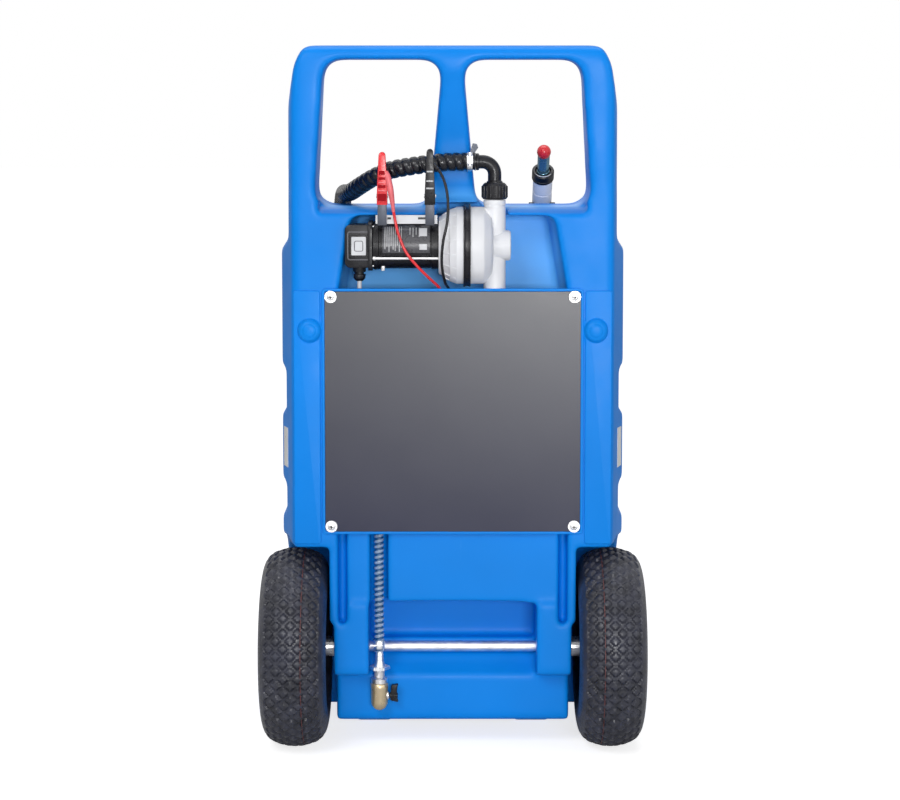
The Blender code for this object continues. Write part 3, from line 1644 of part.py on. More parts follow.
def build_nozzle():
    u = nozzle_direction()
    middle = collar_centre()
    grip_length = (grip_end() - barrel_end()).length
    bottom = -BARREL_LENGTH - 0.006
    barrel = turned(
        "nozzle_body",
        [
            (bottom, 0.0),
            (bottom, BARREL_RADIUS - 0.005),
            (bottom + 0.005, BARREL_RADIUS),
            (-0.0125, BARREL_RADIUS),
            (-0.0125, BARREL_RADIUS - 0.001),
            (-0.0120, 0.0),
        ],
        "Z",
        (0, 0, 0),
        GREY,
        24,
    )
    point_along(barrel, middle, u)
    grip = turned(
        "nozzle_grip",
        [
            (0.0, 0.0),
            (0.0, GRIP_RADIUS - 0.001),
            (grip_length * 0.5, GRIP_RADIUS - 0.0015),
            (grip_length - 0.012, GRIP_RADIUS - 0.001),
            (grip_length - 0.008, GRIP_RADIUS + 0.001),
            (grip_length, GRIP_RADIUS + 0.001),
            (grip_length, 0.0),
        ],
        "Z",
        (0, 0, 0),
        None,
        20,
    )
    point_along(grip, barrel_end(), grip_direction())
    near = GRIP_RADIUS - 0.004
    far = GUARD_REACH
    t = GUARD_THICK
    end = grip_length - 0.010
    outer_line = [
        beside_grip(0.000, near),
        beside_grip(0.002, far - 0.010),
        beside_grip(0.012, far),
        beside_grip(end - 0.030, far),
        beside_grip(end, near),
    ]
    inner_line = [
        beside_grip(t, near),
        beside_grip(0.002 + t, far - 0.012),
        beside_grip(0.014, far - t),
        beside_grip(end - 0.030 - t * 0.6, far - t),
        beside_grip(end - 2.2 * t, near),
    ]
    half = GUARD_WIDTH / 2
    guard = strip(
        "nozzle_guard", outer_line, inner_line, "X", NOZZLE_X - half, NOZZLE_X + half
    )
    join(barrel, grip, guard)
    collar = ring(
        "nozzle_collar",
        "Z",
        (0, 0, 0),
        SPOUT_RADIUS + GAP,
        COLLAR_RADIUS,
        -0.0117,
        COLLAR_LENGTH - 0.0117,
        BLACK,
        24,
    )
    point_along(collar, middle, u)
    spout = ring(
        "nozzle_spout",
        "Z",
        (0, 0, 0),
        SPOUT_BORE,
        SPOUT_RADIUS,
        -0.0115,
        SPOUT_LENGTH,
        STEEL,
        20,
    )
    point_along(spout, middle, u)
    reach = SPOUT_LENGTH - DUST_CAP_LENGTH + 0.006
    dust_cap = turned(
        "dust_cap",
        [
            (SPOUT_LENGTH + GAP, 0.0),
            (SPOUT_LENGTH + GAP, SPOUT_RADIUS + GAP),
            (reach, SPOUT_RADIUS + GAP),
            (reach, DUST_CAP_RADIUS - 0.0006),
            (reach + 0.003, DUST_CAP_RADIUS),
            (SPOUT_LENGTH + 0.001, DUST_CAP_RADIUS),
            (SPOUT_LENGTH + 0.005, DUST_CAP_RADIUS - 0.004),
            (SPOUT_LENGTH + 0.0065, 0.0),
        ],
        "Z",
        (0, 0, 0),
        RED,
        20,
    )
    point_along(dust_cap, middle, u)
    hinge_y, hinge_z = beside_grip(0.012, TRIGGER_REACH)
    pivot = bpy.data.objects.new("trigger_pivot", None)
    bpy.context.collection.objects.link(pivot)
    pivot.parent = FRAME
    pivot.location = (NOZZLE_X, hinge_y, hinge_z)
    thick = TRIGGER_THICK
    length = TRIGGER_LENGTH
    shape = [
        (-0.0053, 0.0),
        (0.0, thick * 0.6),
        (length * 0.5, thick * 0.5 + 0.002),
        (length, thick * 0.5 + 0.006),
        (length + 0.002, 0.006),
        (length * 0.5, -thick * 0.5 + 0.002),
        (0.0, -thick * 0.6),
    ]
    down = grip_direction()
    out = grip_outward()
    outline = [
        (down.y * a + out.y * b, down.z * a + out.z * b) for a, b in shape
    ]
    half = TRIGGER_WIDTH / 2
    trigger = prism("nozzle_trigger", outline, "X", -half, half, BLACK)
    trigger.parent = pivot
    low, top = swivel_ends()
    swivel = turned(
        "hose_swivel",
        [
            (0.0, 0.0),
            (0.0, SWIVEL_RADIUS),
            (0.012, SWIVEL_RADIUS),
            (0.013, SWIVEL_RADIUS - 0.002),
            (0.018, SWIVEL_RADIUS - 0.002),
            (0.019, SWIVEL_RADIUS),
            (SWIVEL_LENGTH, SWIVEL_RADIUS),
            (SWIVEL_LENGTH, 0.0),
        ],
        "Z",
        (0, 0, 0),
        BLACK,
        20,
    )
    point_along(swivel, top, down)


def build_cradle():
    """A bracket on the sloping shoulder, open at the top, that the nozzle's barrel lies in."""
    fall = (DECK_Z - BAY_END_Z) / (FRONT_Y - BAY_START_Y)

    def shoulder(y):
        return DECK_Z - (y - BAY_START_Y) * fall + GAP * 2.2

    outline = [
        (CRADLE_FROM - 0.012, shoulder(CRADLE_FROM - 0.012)),
        (CRADLE_TO + 0.010, shoulder(CRADLE_TO + 0.010)),
        (CRADLE_TO, shoulder(CRADLE_TO) + 0.040),
        (CRADLE_TO, CRADLE_TOP - 0.012),
        (CRADLE_TO - 0.010, CRADLE_TOP),
        (CRADLE_FROM, CRADLE_TOP),
    ]
    half = BARREL_RADIUS + GAP + CRADLE_WALL
    cradle = prism("nozzle_cradle", outline, "X", NOZZLE_X - half, NOZZLE_X + half, BLACK)
    trough = turned(
        "cradle_trough",
        [
            (-BARREL_LENGTH * 1.5, 0.0),
            (-BARREL_LENGTH * 1.5, BARREL_RADIUS + GAP),
            (BARREL_LENGTH / 2, BARREL_RADIUS + GAP),
            (BARREL_LENGTH / 2, 0.0),
        ],
        "Z",
        (0, 0, 0),
        None,
        24,
    )
    point_along(trough, collar_centre(), nozzle_direction())
    radius = BARREL_RADIUS + GAP
    u = nozzle_direction()
    start = collar_centre() - u * BARREL_LENGTH * 1.5
    end = collar_centre() + u * BARREL_LENGTH / 2
    above = [
        (start.y, start.z),
        (end.y, end.z),
        (end.y, end.z + 0.12),
        (start.y, start.z + 0.12),
    ]
    slot = prism("cradle_slot", above, "X", NOZZLE_X - radius, NOZZLE_X + radius)
    cut(cradle, trough, slot)


# Clamp rail and battery clamps


def build_rail():
    front = RAIL_Y - RAIL_THICK / 2
    rail = box(
        "clamp_rail",
        (RAIL_LEFT, front, RAIL_LOW),
        (RAIL_RIGHT, front + RAIL_THICK, RAIL_HIGH),
        ZINC,
    )
    for x, name in ((LEFT_ARM_X, "left"), (RIGHT_ARM_X, "right")):
        arm = box(
            f"rail_arm_{name}",
            (x, front + RAIL_THICK / 2, ARM_LOW),
            (x + ARM_WIDTH, RECESS_Y - GAP, ARM_HIGH),
        )
        join(rail, arm)


def clamp_half(name, x, side, colour):
    """One half of a battery clamp: an insulated handle above its pivot and a bare jaw below it."""
    inner = RAIL_THICK / 2 + GAP
    tip = CLAMP_TIP_Z - CLAMP_PIVOT_Z
    bottom = JAW_BOTTOM - CLAMP_PIVOT_Z
    outline = [
        (inner, bottom),
        (inner + JAW_THICK + 0.001, bottom),
        (inner + JAW_THICK + 0.004, bottom + 0.020),
        (0.0085, -0.008),
        (0.0110, 0.006),
        (0.0120, tip - 0.010),
        (0.0105, tip),
        (0.0075, tip),
        (0.0060, tip - 0.010),
        (0.0030, 0.004),
        (0.0008, 0.001),
        (0.0008, -0.004),
        (0.0045, -0.010),
        (inner + JAW_THICK + 0.001, bottom + 0.022),
        (inner, bottom + 0.014),
    ]
    bm = bmesh.new()
    tip_share = 0.62
    rows = []
    for end in (-1, 1):
        row = []
        for a, b in outline:
            narrow = 1.0 - (1.0 - tip_share) * max(0.0, b) / tip
            row.append(bm.verts.new((end * CLAMP_WIDTH / 2 * narrow, side * a, b)))
        rows.append(row)
    bm.faces.new(rows[0])
    bm.faces.new(rows[1])
    for i in range(len(outline)):
        j = (i + 1) % len(outline)
        bm.faces.new((rows[0][i], rows[0][j], rows[1][j], rows[1][i]))
    half = solid(name, bm, colour)
    return half


def build_clamp(colour_name, x, colour):
    """Two halves that turn on one pin; the rear half, nearest the operator, is the one that opens."""
    pivot = bpy.data.objects.new(f"{colour_name}_clamp_pivot", None)
    bpy.context.collection.objects.link(pivot)
    pivot.parent = FRAME
    pivot.location = (x, RAIL_Y, CLAMP_PIVOT_Z)
    fixed = clamp_half(f"{colour_name}_clamp_fixed", x, 1, colour)
    moving = clamp_half(f"{colour_name}_clamp_jaw", x, -1, colour)
    pin = rod(
        f"{colour_name}_clamp_pin",
        "X",
        (0, 0, 0),
        CLAMP_PIN_RADIUS,
        -CLAMP_WIDTH / 2 - 0.001,
        CLAMP_WIDTH / 2 + 0.001,
        None,
        10,
    )
    room = rod(
        f"{colour_name}_pin_room",
        "X",
        (0, 0, 0),
        CLAMP_PIN_RADIUS + GAP,
        -CLAMP_WIDTH,
        CLAMP_WIDTH,
        None,
        10,
    )
    for piece in (fixed, moving, pin, room):
        piece.parent = pivot
    join(fixed, pin)
    cut(moving, room)


# Leads and cables

RED_LEAD_ROUTE = [
    (-0.0865, -0.0780, 0.8130),
    (-0.0835, -0.0860, 0.7980),
    (-0.0790, -0.0905, 0.7800),
    (-0.0690, -0.0910, 0.7560),
    (-0.0540, -0.0880, 0.7360),
    (-0.0360, -0.0760, 0.7170),
    (-0.0200, -0.0560, 0.7000),
    (-0.0070, -0.0420, 0.6780),
    (-0.0020, -0.0370, 0.6500),
    (0.0002, -0.0360, 0.6250),
    (0.0002, -0.0360, 0.6055),
]
BLACK_LEAD_ROUTE = [
    (-0.0250, -0.0830, 0.8780),
    (-0.0185, -0.0885, 0.8710),
    (-0.0110, -0.0975, 0.8540),
    (-0.0070, -0.1060, 0.8300),
    (-0.0080, -0.1110, 0.8000),
    (-0.0140, -0.1120, 0.7700),
    (-0.0160, -0.1050, 0.7400),
    (-0.0120, -0.0800, 0.7120),
    (-0.0060, -0.0540, 0.6980),
    (0.0010, -0.0390, 0.6780),
    (0.0050, -0.0360, 0.6500),
    (0.0058, -0.0360, 0.6250),
    (0.0058, -0.0360, 0.6055),
]
PUMP_CABLE_ROUTE = [
    (-0.1378, -0.0450, 0.7095),
    (-0.1378, -0.0450, 0.6980),
    (-0.1350, -0.0440, 0.6820),
    (-0.1310, -0.0400, 0.6600),
    (-0.1285, -0.0280, 0.6300),
    (FUSE_BOX_X, -0.0120, FUSE_BOX_Z + 0.0710),
    (FUSE_BOX_X, -0.0040, FUSE_BOX_Z + 0.0460),
    (FUSE_BOX_X, -0.0040, FUSE_BOX_Z + 0.0225),
]


def build_electrics():
    size_x, size_y, size_z = FUSE_BOX
    back = RECESS_Y - GAP
    box(
        "fuse_box",
        (FUSE_BOX_X - size_x / 2, back - size_y, FUSE_BOX_Z - size_z / 2),
        (FUSE_BOX_X + size_x / 2, back, FUSE_BOX_Z + size_z / 2),
        BLACK,
        0.004,
        "Y",
    )
    tube("red_lead", smooth_route(RED_LEAD_ROUTE, LEAD_STEP), LEAD_RADIUS, RED, 2)
    tube("black_lead", smooth_route(BLACK_LEAD_ROUTE, LEAD_STEP), LEAD_RADIUS, BLACK, 2)
    tube("pump_cable", smooth_route(PUMP_CABLE_ROUTE, LEAD_STEP), CABLE_RADIUS, GREY, 2)
    coil = []
    steps = round(BATTERY_COIL_TURNS * BATTERY_COIL_STEPS)
    for i in range(steps + 1):
        angle = -2 * math.pi * i / BATTERY_COIL_STEPS
        coil.append(
            (
                BATTERY_COIL_X + BATTERY_COIL_RADIUS * math.cos(angle),
                BATTERY_COIL_Y + BATTERY_COIL_PITCH * i / BATTERY_COIL_STEPS,
                BATTERY_COIL_Z + BATTERY_COIL_RADIUS * math.sin(angle),
            )
        )
    first_x, first_y, first_z = coil[0]
    rise = BATTERY_CABLE_RISE
    lead_in = [(first_x, first_y, first_z + rise * share) for share in (1.0, 0.6, 0.25)]
    last_x, last_y, last_z = coil[-1]
    socket_x = FUSE_BOX_X + size_x / 2 + GAP
    lead_out = [(last_x + (socket_x - last_x) * share, last_y, last_z) for share in (0.3, 1.0)]
    line = lead_in + coil + lead_out
    tube("battery_cable", line, CABLE_RADIUS, BLACK, 1)
    gap = least_self_gap(line, CABLE_RADIUS, BATTERY_COIL_STEPS // 2)
    print(f"battery_cable least gap to itself {gap * 1000:.2f} mm, length {route_length(line):.3f} m")


# Suction line


def suction_route():
    """Up from the valve, across the compartment and up again to the pump's inlet."""
    bend = SUCTION_BEND
    bend_start = SUCTION_CROSS_Z - bend
    route = []
    for share in (0.0, 0.23, 0.46, 0.70, 0.89):
        route.append((SUCTION_X, SUCTION_END_Z + (bend_start - SUCTION_END_Z) * share))
    for step in range(7):
        angle = math.pi / 2 * step / 6
        x = SUCTION_X + bend * (1 - math.cos(angle))
        route.append((x, bend_start + bend * math.sin(angle)))
    for step in range(7):
        angle = math.pi / 2 * step / 6
        x = COLUMN_X - bend + bend * math.sin(angle)
        route.append((x, SUCTION_CROSS_Z + bend * (1 - math.cos(angle))))
    bend_end = SUCTION_CROSS_Z + bend
    inlet = COLUMN_LOW - GAP
    for share in (0.16, 0.45, 0.74, 1.0):
        route.append((COLUMN_X, bend_end + (inlet - bend_end) * share))
    return [(x, SUCTION_Y, z) for x, z in route]


def build_suction():
    ribbed_tube(
        "suction_hose",
        suction_route(),
        SUCTION_RIB_PITCH,
        SUCTION_RADIUS,
        SUCTION_GROOVE_RADIUS,
        SUCTION_BORE,
        CLEAR,
        SUCTION_BORE_STEP,
    )
    centre = (SUCTION_X, SUCTION_Y, 0.0)
    tip = SUCTION_END_Z + 0.020
    turned(
        "suction_nipple",
        [
            (RING_Z, VALVE_BORE),
            (RING_Z, 0.0122),
            (RING_Z + 0.008, 0.0122),
            (RING_Z + 0.009, 0.0078),
            (RING_Z + 0.016, 0.0078),
            (FLANGE_Z - 0.0025, 0.0078),
            (FLANGE_Z - 0.0025, FLANGE_RADIUS),
            (FLANGE_Z + 0.0025, FLANGE_RADIUS),
            (FLANGE_Z + 0.0030, 0.0085),
            (SUCTION_END_Z - 0.012, 0.0060),
            (SUCTION_END_Z - GAP, 0.0060),
            (SUCTION_END_Z - GAP, SUCTION_BORE - 0.0008),
            (tip, SUCTION_BORE - 0.0008),
            (tip, 0.0022),
            (FLANGE_Z, 0.0022),
            (FLANGE_Z - 0.004, VALVE_BORE),
        ],
        "Z",
        centre,
        ZINC,
        16,
        closed=True,
    )
    top = RING_Z - GAP
    turn_z = VALVE_LOW + VALVE_RADIUS
    elbow = turned(
        "drain_valve",
        [
            (VALVE_LOW, 0.0),
            (VALVE_LOW + 0.0015, VALVE_RADIUS * 0.45),
            (VALVE_LOW + 0.0055, VALVE_RADIUS * 0.82),
            (turn_z, VALVE_RADIUS),
            (top, VALVE_RADIUS),
            (top, 0.0),
        ],
        "Z",
        centre,
        BRASS,
        24,
    )
    tail_end = RECESS_Y + WALL / 2
    outlet_tail = turned(
        "valve_tail",
        [
            (SUCTION_Y + 0.003, 0.0),
            (SUCTION_Y + 0.003, 0.0115),
            (SKIRT_Y - GAP, 0.0115),
            (SKIRT_Y - GAP, 0.0078),
            (tail_end, 0.0078),
            (tail_end, 0.0),
        ],
        "Y",
        (SUCTION_X, 0.0, turn_z),
        None,
        16,
    )
    stem_seat = rod(
        "valve_stem_seat",
        "X",
        (SUCTION_X, SUCTION_Y, STEM_Z),
        0.0055,
        VALVE_RADIUS - 0.004,
        VALVE_RADIUS + 0.002,
        None,
        12,
    )
    join(elbow, outlet_tail, stem_seat)
    down_bore = rod("valve_down_bore", "Z", centre, VALVE_BORE, turn_z, top + PAST, None, 12)
    out_bore = rod(
        "valve_out_bore",
        "Y",
        (SUCTION_X, 0.0, turn_z),
        VALVE_BORE,
        SUCTION_Y - 0.003,
        RECESS_Y + WALL + PAST,
        None,
        12,
    )
    cut(elbow, down_bore, out_bore)
    stem_start = VALVE_RADIUS + 0.002 + GAP
    lever_x = stem_start + 0.0005
    handle = rod(
        "valve_handle",
        "X",
        (SUCTION_X, SUCTION_Y, STEM_Z),
        STEM_RADIUS,
        stem_start,
        stem_start + STEM_LENGTH,
        BLACK,
        12,
    )
    half = LEVER_THICK / 2
    wing = rounded(
        [
            (SUCTION_Y - half, STEM_Z - LEVER_DOWN, 0.003),
            (SUCTION_Y + half, STEM_Z - LEVER_DOWN, 0.003),
            (SUCTION_Y + half, STEM_Z + LEVER_UP, 0.003),
            (SUCTION_Y - half, STEM_Z + LEVER_UP, 0.003),
        ],
        2,
    )
    join(
        handle,
        prism(
            "valve_wing",
            wing,
            "X",
            SUCTION_X + lever_x,
            SUCTION_X + lever_x + LEVER_WIDTH,
        ),
    )


# Wheels


def build_wheel(name, side):
    centre = (side * TRACK_HALF, 0.0, WHEEL_RADIUS)
    half = TYRE_WIDTH / 2
    bead = RIM_RADIUS + GAP
    seat = RIM_WIDTH / 2 - 0.004
    turned(
        f"tyre_{name}",
        [
            (-seat, bead),
            (-seat - 0.002, bead + 0.016),
            (-half, 0.104),
            (-half + 0.003, 0.124),
            (-half + 0.014, 0.141),
            (0.0, WHEEL_RADIUS),
            (half - 0.014, 0.141),
            (half - 0.003, 0.124),
            (half, 0.104),
            (seat + 0.002, bead + 0.016),
            (seat, bead),
            (seat - 0.008, bead),
            (half - 0.010, 0.104),
            (half - 0.022, 0.132),
            (-half + 0.022, 0.132),
            (-half + 0.010, 0.104),
            (-seat + 0.008, bead),
        ],
        "X",
        centre,
        RUBBER,
        28,
        closed=True,
    )
    edge = RIM_WIDTH / 2
    turned(
        f"rim_{name}",
        [
            (-HUB_HALF, BUSH_RADIUS + GAP),
            (-HUB_HALF, HUB_RADIUS),
            (-0.008, HUB_RADIUS + 0.002),
            (-0.014, 0.040),
            (-edge, RIM_RADIUS - 0.005),
            (-edge, RIM_RADIUS + 0.008),
            (-edge + 0.003, RIM_RADIUS + 0.008),
            (-edge + 0.003, RIM_RADIUS),
            (edge - 0.003, RIM_RADIUS),
            (edge - 0.003, RIM_RADIUS + 0.008),
            (edge, RIM_RADIUS + 0.008),
            (edge, RIM_RADIUS - 0.005),
            (-0.006, 0.044),
            (0.002, HUB_RADIUS + 0.003),
            (HUB_HALF, HUB_RADIUS),
            (HUB_HALF, BUSH_RADIUS + GAP),
        ],
        "X",
        centre,
        GREY,
        28,
        closed=True,
    )
    ring(
        f"wheel_bush_{name}",
        "X",
        centre,
        AXLE_RADIUS + AXLE_FIT,
        BUSH_RADIUS,
        -HUB_HALF + 0.0005,
        HUB_HALF - 0.0005,
        BLACK,
        20,
    )
    leg = LEG_OUTER_X + GAP
    inner_end = TRACK_HALF - HUB_HALF - GAP
    ends = sorted((side * leg, side * inner_end))
    ring(
        f"axle_spacer_{name}",
        "X",
        (0.0, 0.0, WHEEL_RADIUS),
        AXLE_RADIUS + AXLE_FIT,
        SPACER_RADIUS,
        *ends,
        STEEL,
        20,
    )
    outer_end = TRACK_HALF + HUB_HALF + GAP
    cap_end = TRACK_HALF + half - 0.0002
    profile = [
        (axle_half() + GAP, 0.0),
        (axle_half() + GAP, AXLE_RADIUS + GAP),
        (outer_end, AXLE_RADIUS + GAP),
        (outer_end, 0.014),
        (outer_end + 0.0012, 0.014),
        (cap_end, 0.009),
        (cap_end, 0.0),
    ]
    turned(
        f"hub_cap_{name}",
        [(side * along, radius) for along, radius in profile],
        "X",
        (0.0, 0.0, WHEEL_RADIUS),
        STEEL,
        20,
    )


def axle_half():
    return TRACK_HALF + HUB_HALF + 0.0015


def build_wheels():
    rod(
        "axle",
        "X",
        (0.0, 0.0, WHEEL_RADIUS),
        AXLE_RADIUS,
        -axle_half(),
        axle_half(),
        ZINC,
        20,
    )
    build_wheel("left", -1)
    build_wheel("right", 1)


build_tank()
build_filler()
build_cover()
build_motor()
build_switch_box()
build_pump_head()
build_pump_foot()
build_outlet()
build_delivery_hose()
build_saddle()
build_nozzle()
build_cradle()
build_rail()
build_clamp("red", RED_CLAMP_X, RED)
build_clamp("black", BLACK_CLAMP_X, BLACK)
build_electrics()
build_suction()
build_wheels()
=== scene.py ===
import json
import math

import bmesh
import bpy
import numpy as np
from mathutils import Matrix, Vector


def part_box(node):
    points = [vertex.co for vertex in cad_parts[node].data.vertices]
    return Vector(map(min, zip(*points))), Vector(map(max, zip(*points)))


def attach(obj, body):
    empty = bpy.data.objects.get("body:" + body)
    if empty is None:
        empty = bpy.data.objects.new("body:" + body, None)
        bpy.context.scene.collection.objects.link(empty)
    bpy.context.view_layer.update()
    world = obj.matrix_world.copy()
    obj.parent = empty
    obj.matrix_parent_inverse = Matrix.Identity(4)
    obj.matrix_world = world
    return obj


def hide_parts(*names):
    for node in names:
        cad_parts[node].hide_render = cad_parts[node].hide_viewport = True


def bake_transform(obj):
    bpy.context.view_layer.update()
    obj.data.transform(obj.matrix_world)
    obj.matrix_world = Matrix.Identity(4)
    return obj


# Looks of the wheeled fluid transfer tank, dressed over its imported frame. Metres, +Z up, and the operator
# stands towards -Y. Pieces are drawn with Y measured from the axle plane and moved to the frame when made.

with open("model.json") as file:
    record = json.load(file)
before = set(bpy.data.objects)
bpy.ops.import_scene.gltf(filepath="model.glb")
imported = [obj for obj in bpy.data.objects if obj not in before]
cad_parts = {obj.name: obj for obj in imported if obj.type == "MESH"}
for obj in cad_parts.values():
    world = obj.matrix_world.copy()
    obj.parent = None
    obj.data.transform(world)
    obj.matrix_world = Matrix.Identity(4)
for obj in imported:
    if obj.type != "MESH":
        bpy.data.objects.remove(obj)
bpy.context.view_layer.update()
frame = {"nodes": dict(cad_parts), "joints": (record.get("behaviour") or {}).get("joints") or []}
NODES = frame["nodes"]
SIDES = ((-1, "left"), (1, "right"))
GAP = 0.0003


# Places taken from the frame

AXLE_Y = sum(corner[1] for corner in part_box("axle")) / 2
TO_FRAME = Vector((0.0, AXLE_Y, 0.0))


def span(node):
    """A node's lowest and highest corner, with Y measured from the axle plane."""
    low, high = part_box(node)
    return Vector(low) - TO_FRAME, Vector(high) - TO_FRAME


def middle(node):
    low, high = span(node)
    return (low + high) / 2


def joint_named(name):
    return next(joint for joint in frame["joints"] if joint["name"] == name)


def joint_place(name):
    """A turning joint's pivot, with Y measured from the axle plane, and its direction."""
    joint = joint_named(name)
    return Vector(joint["pos_m"]) - TO_FRAME, Vector(joint["axis"]).normalized()


def in_frame(points):
    """Points drawn about the axle plane, in the frame's own coordinates."""
    return [(p[0], p[1] + AXLE_Y, p[2]) for p in points]


# Camera: the photograph looks level from in front. A small tilt and a small shift give the same framing

CAMERA_X = -0.0040
CAMERA_BACK = 3.5
CAMERA_HEIGHT = 0.95
CAMERA_TILT = math.radians(5.05)
FOCAL_PIXELS = 2340.0
PICTURE_WIDTH = 900.0
SHIFT_PIXELS = -75.6
SENSOR = 36.0


def make_camera():
    data = bpy.data.cameras.new("camera")
    data.sensor_width = SENSOR
    data.lens = SENSOR * FOCAL_PIXELS / PICTURE_WIDTH
    data.shift_y = SHIFT_PIXELS / PICTURE_WIDTH
    data.clip_start = 0.1
    data.clip_end = 100.0
    camera = bpy.data.objects.new("camera", data)
    camera.location = (CAMERA_X, AXLE_Y - CAMERA_BACK, CAMERA_HEIGHT)
    camera.rotation_euler = (math.pi / 2 - CAMERA_TILT, 0.0, 0.0)
    bpy.context.collection.objects.link(camera)
    bpy.context.scene.camera = camera


make_camera()


# Shaders


def wire(tree, source, target):
    tree.links.new(source, target)


def object_place(tree):
    return tree.nodes.new("ShaderNodeTexCoord").outputs["Object"]


def place_parts(tree):
    """X, Y and Z of a point, in the object's own metres."""
    parts = tree.nodes.new("ShaderNodeSeparateXYZ")
    wire(tree, object_place(tree), parts.inputs[0])
    return parts.outputs


def arithmetic(tree, operation, one, two):
    """One operation on two values, each another node's output or a plain number."""
    node = tree.nodes.new("ShaderNodeMath")
    node.operation = operation
    for value, socket in ((one, node.inputs[0]), (two, node.inputs[1])):
        if isinstance(value, float):
            socket.default_value = value
        else:
            wire(tree, value, socket)
    return node.outputs[0]


def noise(tree, scale, detail=3.0, stretch=None, roughness=0.5):
    """A noise pattern in the object's own metres."""
    place = object_place(tree)
    pattern = tree.nodes.new("ShaderNodeTexNoise")
    pattern.inputs["Scale"].default_value = scale
    pattern.inputs["Detail"].default_value = detail
    pattern.inputs["Roughness"].default_value = roughness
    if stretch:
        mapping = tree.nodes.new("ShaderNodeMapping")
        mapping.inputs["Scale"].default_value = stretch
        wire(tree, place, mapping.inputs["Vector"])
        place = mapping.outputs["Vector"]
    wire(tree, place, pattern.inputs["Vector"])
    return pattern.outputs["Fac"]


def ramp(tree, value, low, high, from_low=0.35, from_high=0.65):
    """The value from from_low to from_high, turned into a number from low to high."""
    node = tree.nodes.new("ShaderNodeMapRange")
    node.inputs["From Min"].default_value = from_low
    node.inputs["From Max"].default_value = from_high
    node.inputs["To Min"].default_value = low
    node.inputs["To Max"].default_value = high
    wire(tree, value, node.inputs["Value"])
    return node.outputs["Result"]


def blend_colours(tree, share, one, two):
    """A mix of two colours, each another node's output or a plain colour."""
    node = tree.nodes.new("ShaderNodeMix")
    node.data_type = "RGBA"
    for colour, socket in ((one, node.inputs[6]), (two, node.inputs[7])):
        if isinstance(colour, tuple):
            socket.default_value = (*colour, 1.0)
        else:
            wire(tree, colour, socket)
    wire(tree, share, node.inputs[0])
    return node.outputs[2]


def shader_of(material):
    return material.node_tree.nodes["Principled BSDF"]


def add_relief(material, height, distance, strength):
    """One more bump, on top of those that the finish has."""
    tree = material.node_tree
    normal = shader_of(material).inputs["Normal"]
    bump = tree.nodes.new("ShaderNodeBump")
    bump.inputs["Strength"].default_value = strength
    bump.inputs["Distance"].default_value = distance
    wire(tree, height, bump.inputs["Height"])
    if normal.links:
        wire(tree, normal.links[0].from_socket, bump.inputs["Normal"])
    wire(tree, bump.outputs["Normal"], normal)


def look(
    name, colour, roughness, metallic=0.0, patches=(7.0, 0.86), grain=(420.0, 0.00006), spread=0.07,
    stretch=None, specular=0.5,
):
    """A finish with soft patches of tone, uneven gloss and a fine grain.

    patches is their scale and the darkest share of the colour, grain is its scale and depth, and spread
    is how far the roughness strays.
    """
    material = bpy.data.materials.new(name)
    material.use_nodes = True
    tree = material.node_tree
    shader = shader_of(material)
    shader.inputs["Metallic"].default_value = metallic
    shader.inputs["Specular IOR Level"].default_value = specular
    scale, shade = patches
    dark = tuple(c * shade for c in colour)
    tone = ramp(tree, noise(tree, scale, 4.0, stretch), 0.0, 1.0)
    wire(tree, blend_colours(tree, tone, dark, colour), shader.inputs["Base Color"])
    gloss = noise(tree, scale * 6.0, 5.0, stretch, 0.6)
    low = max(0.03, roughness - spread)
    wire(tree, ramp(tree, gloss, low, roughness + spread), shader.inputs["Roughness"])
    add_relief(material, noise(tree, grain[0], 3.0, stretch), grain[1], 0.6)
    return material


RUBBED_BLUE = (0.10, 0.40, 0.85)
# Painted light: the pump recess is tinted paler to stand for the light that it catches
RECESS_PAINTED_LIGHT_BLUE = (0.120, 0.470, 1.0)
# The soft ends of the pump recess's painted light: axis, where its tone is gone, and where it is full
PAINTED_RECESS_LIGHT_ENDS = (
    ("Y", AXLE_Y - 0.050, AXLE_Y - 0.012), ("Y", AXLE_Y + 0.046, AXLE_Y + 0.034),
    ("X", 0.200, 0.185), ("X", -0.200, -0.185), ("Z", 0.655, 0.695), ("Z", 0.850, 0.835),
)


def painted_recess_light_share(tree):
    """One inside the pump recess, where painted light makes the skin paler, and none elsewhere."""
    parts = place_parts(tree)
    share = 1.0
    for axis, gone, full in PAINTED_RECESS_LIGHT_ENDS:
        share = arithmetic(tree, "MULTIPLY", share, ramp(tree, parts[axis], 0.0, 1.0, gone, full))
    return share


def moulded_blue():
    """Rotationally moulded polyethylene: a faint wave in the skin, rubbed marks and painted light that makes
    the pump recess paler.
    """
    material = look(
        "moulded_blue", (0.0012, 0.225, 0.760), 0.40, patches=(3.2, 0.90), grain=(900.0, 0.00003),
        spread=0.05, specular=0.15,
    )
    tree = material.node_tree
    add_relief(material, noise(tree, 11.0, 2.0), 0.0022, 0.35)
    marks = ramp(tree, noise(tree, 55.0, 6.0, (1.0, 1.0, 0.09), 0.7), 0.0, 0.22, 0.66, 0.80)
    base = shader_of(material).inputs["Base Color"]
    rubbed = blend_colours(tree, marks, base.links[0].from_socket, RUBBED_BLUE)
    # Painted light: the skin inside the recess is blended towards the paler blue
    wire(tree, blend_colours(tree, painted_recess_light_share(tree), rubbed, RECESS_PAINTED_LIGHT_BLUE), base)
    return material


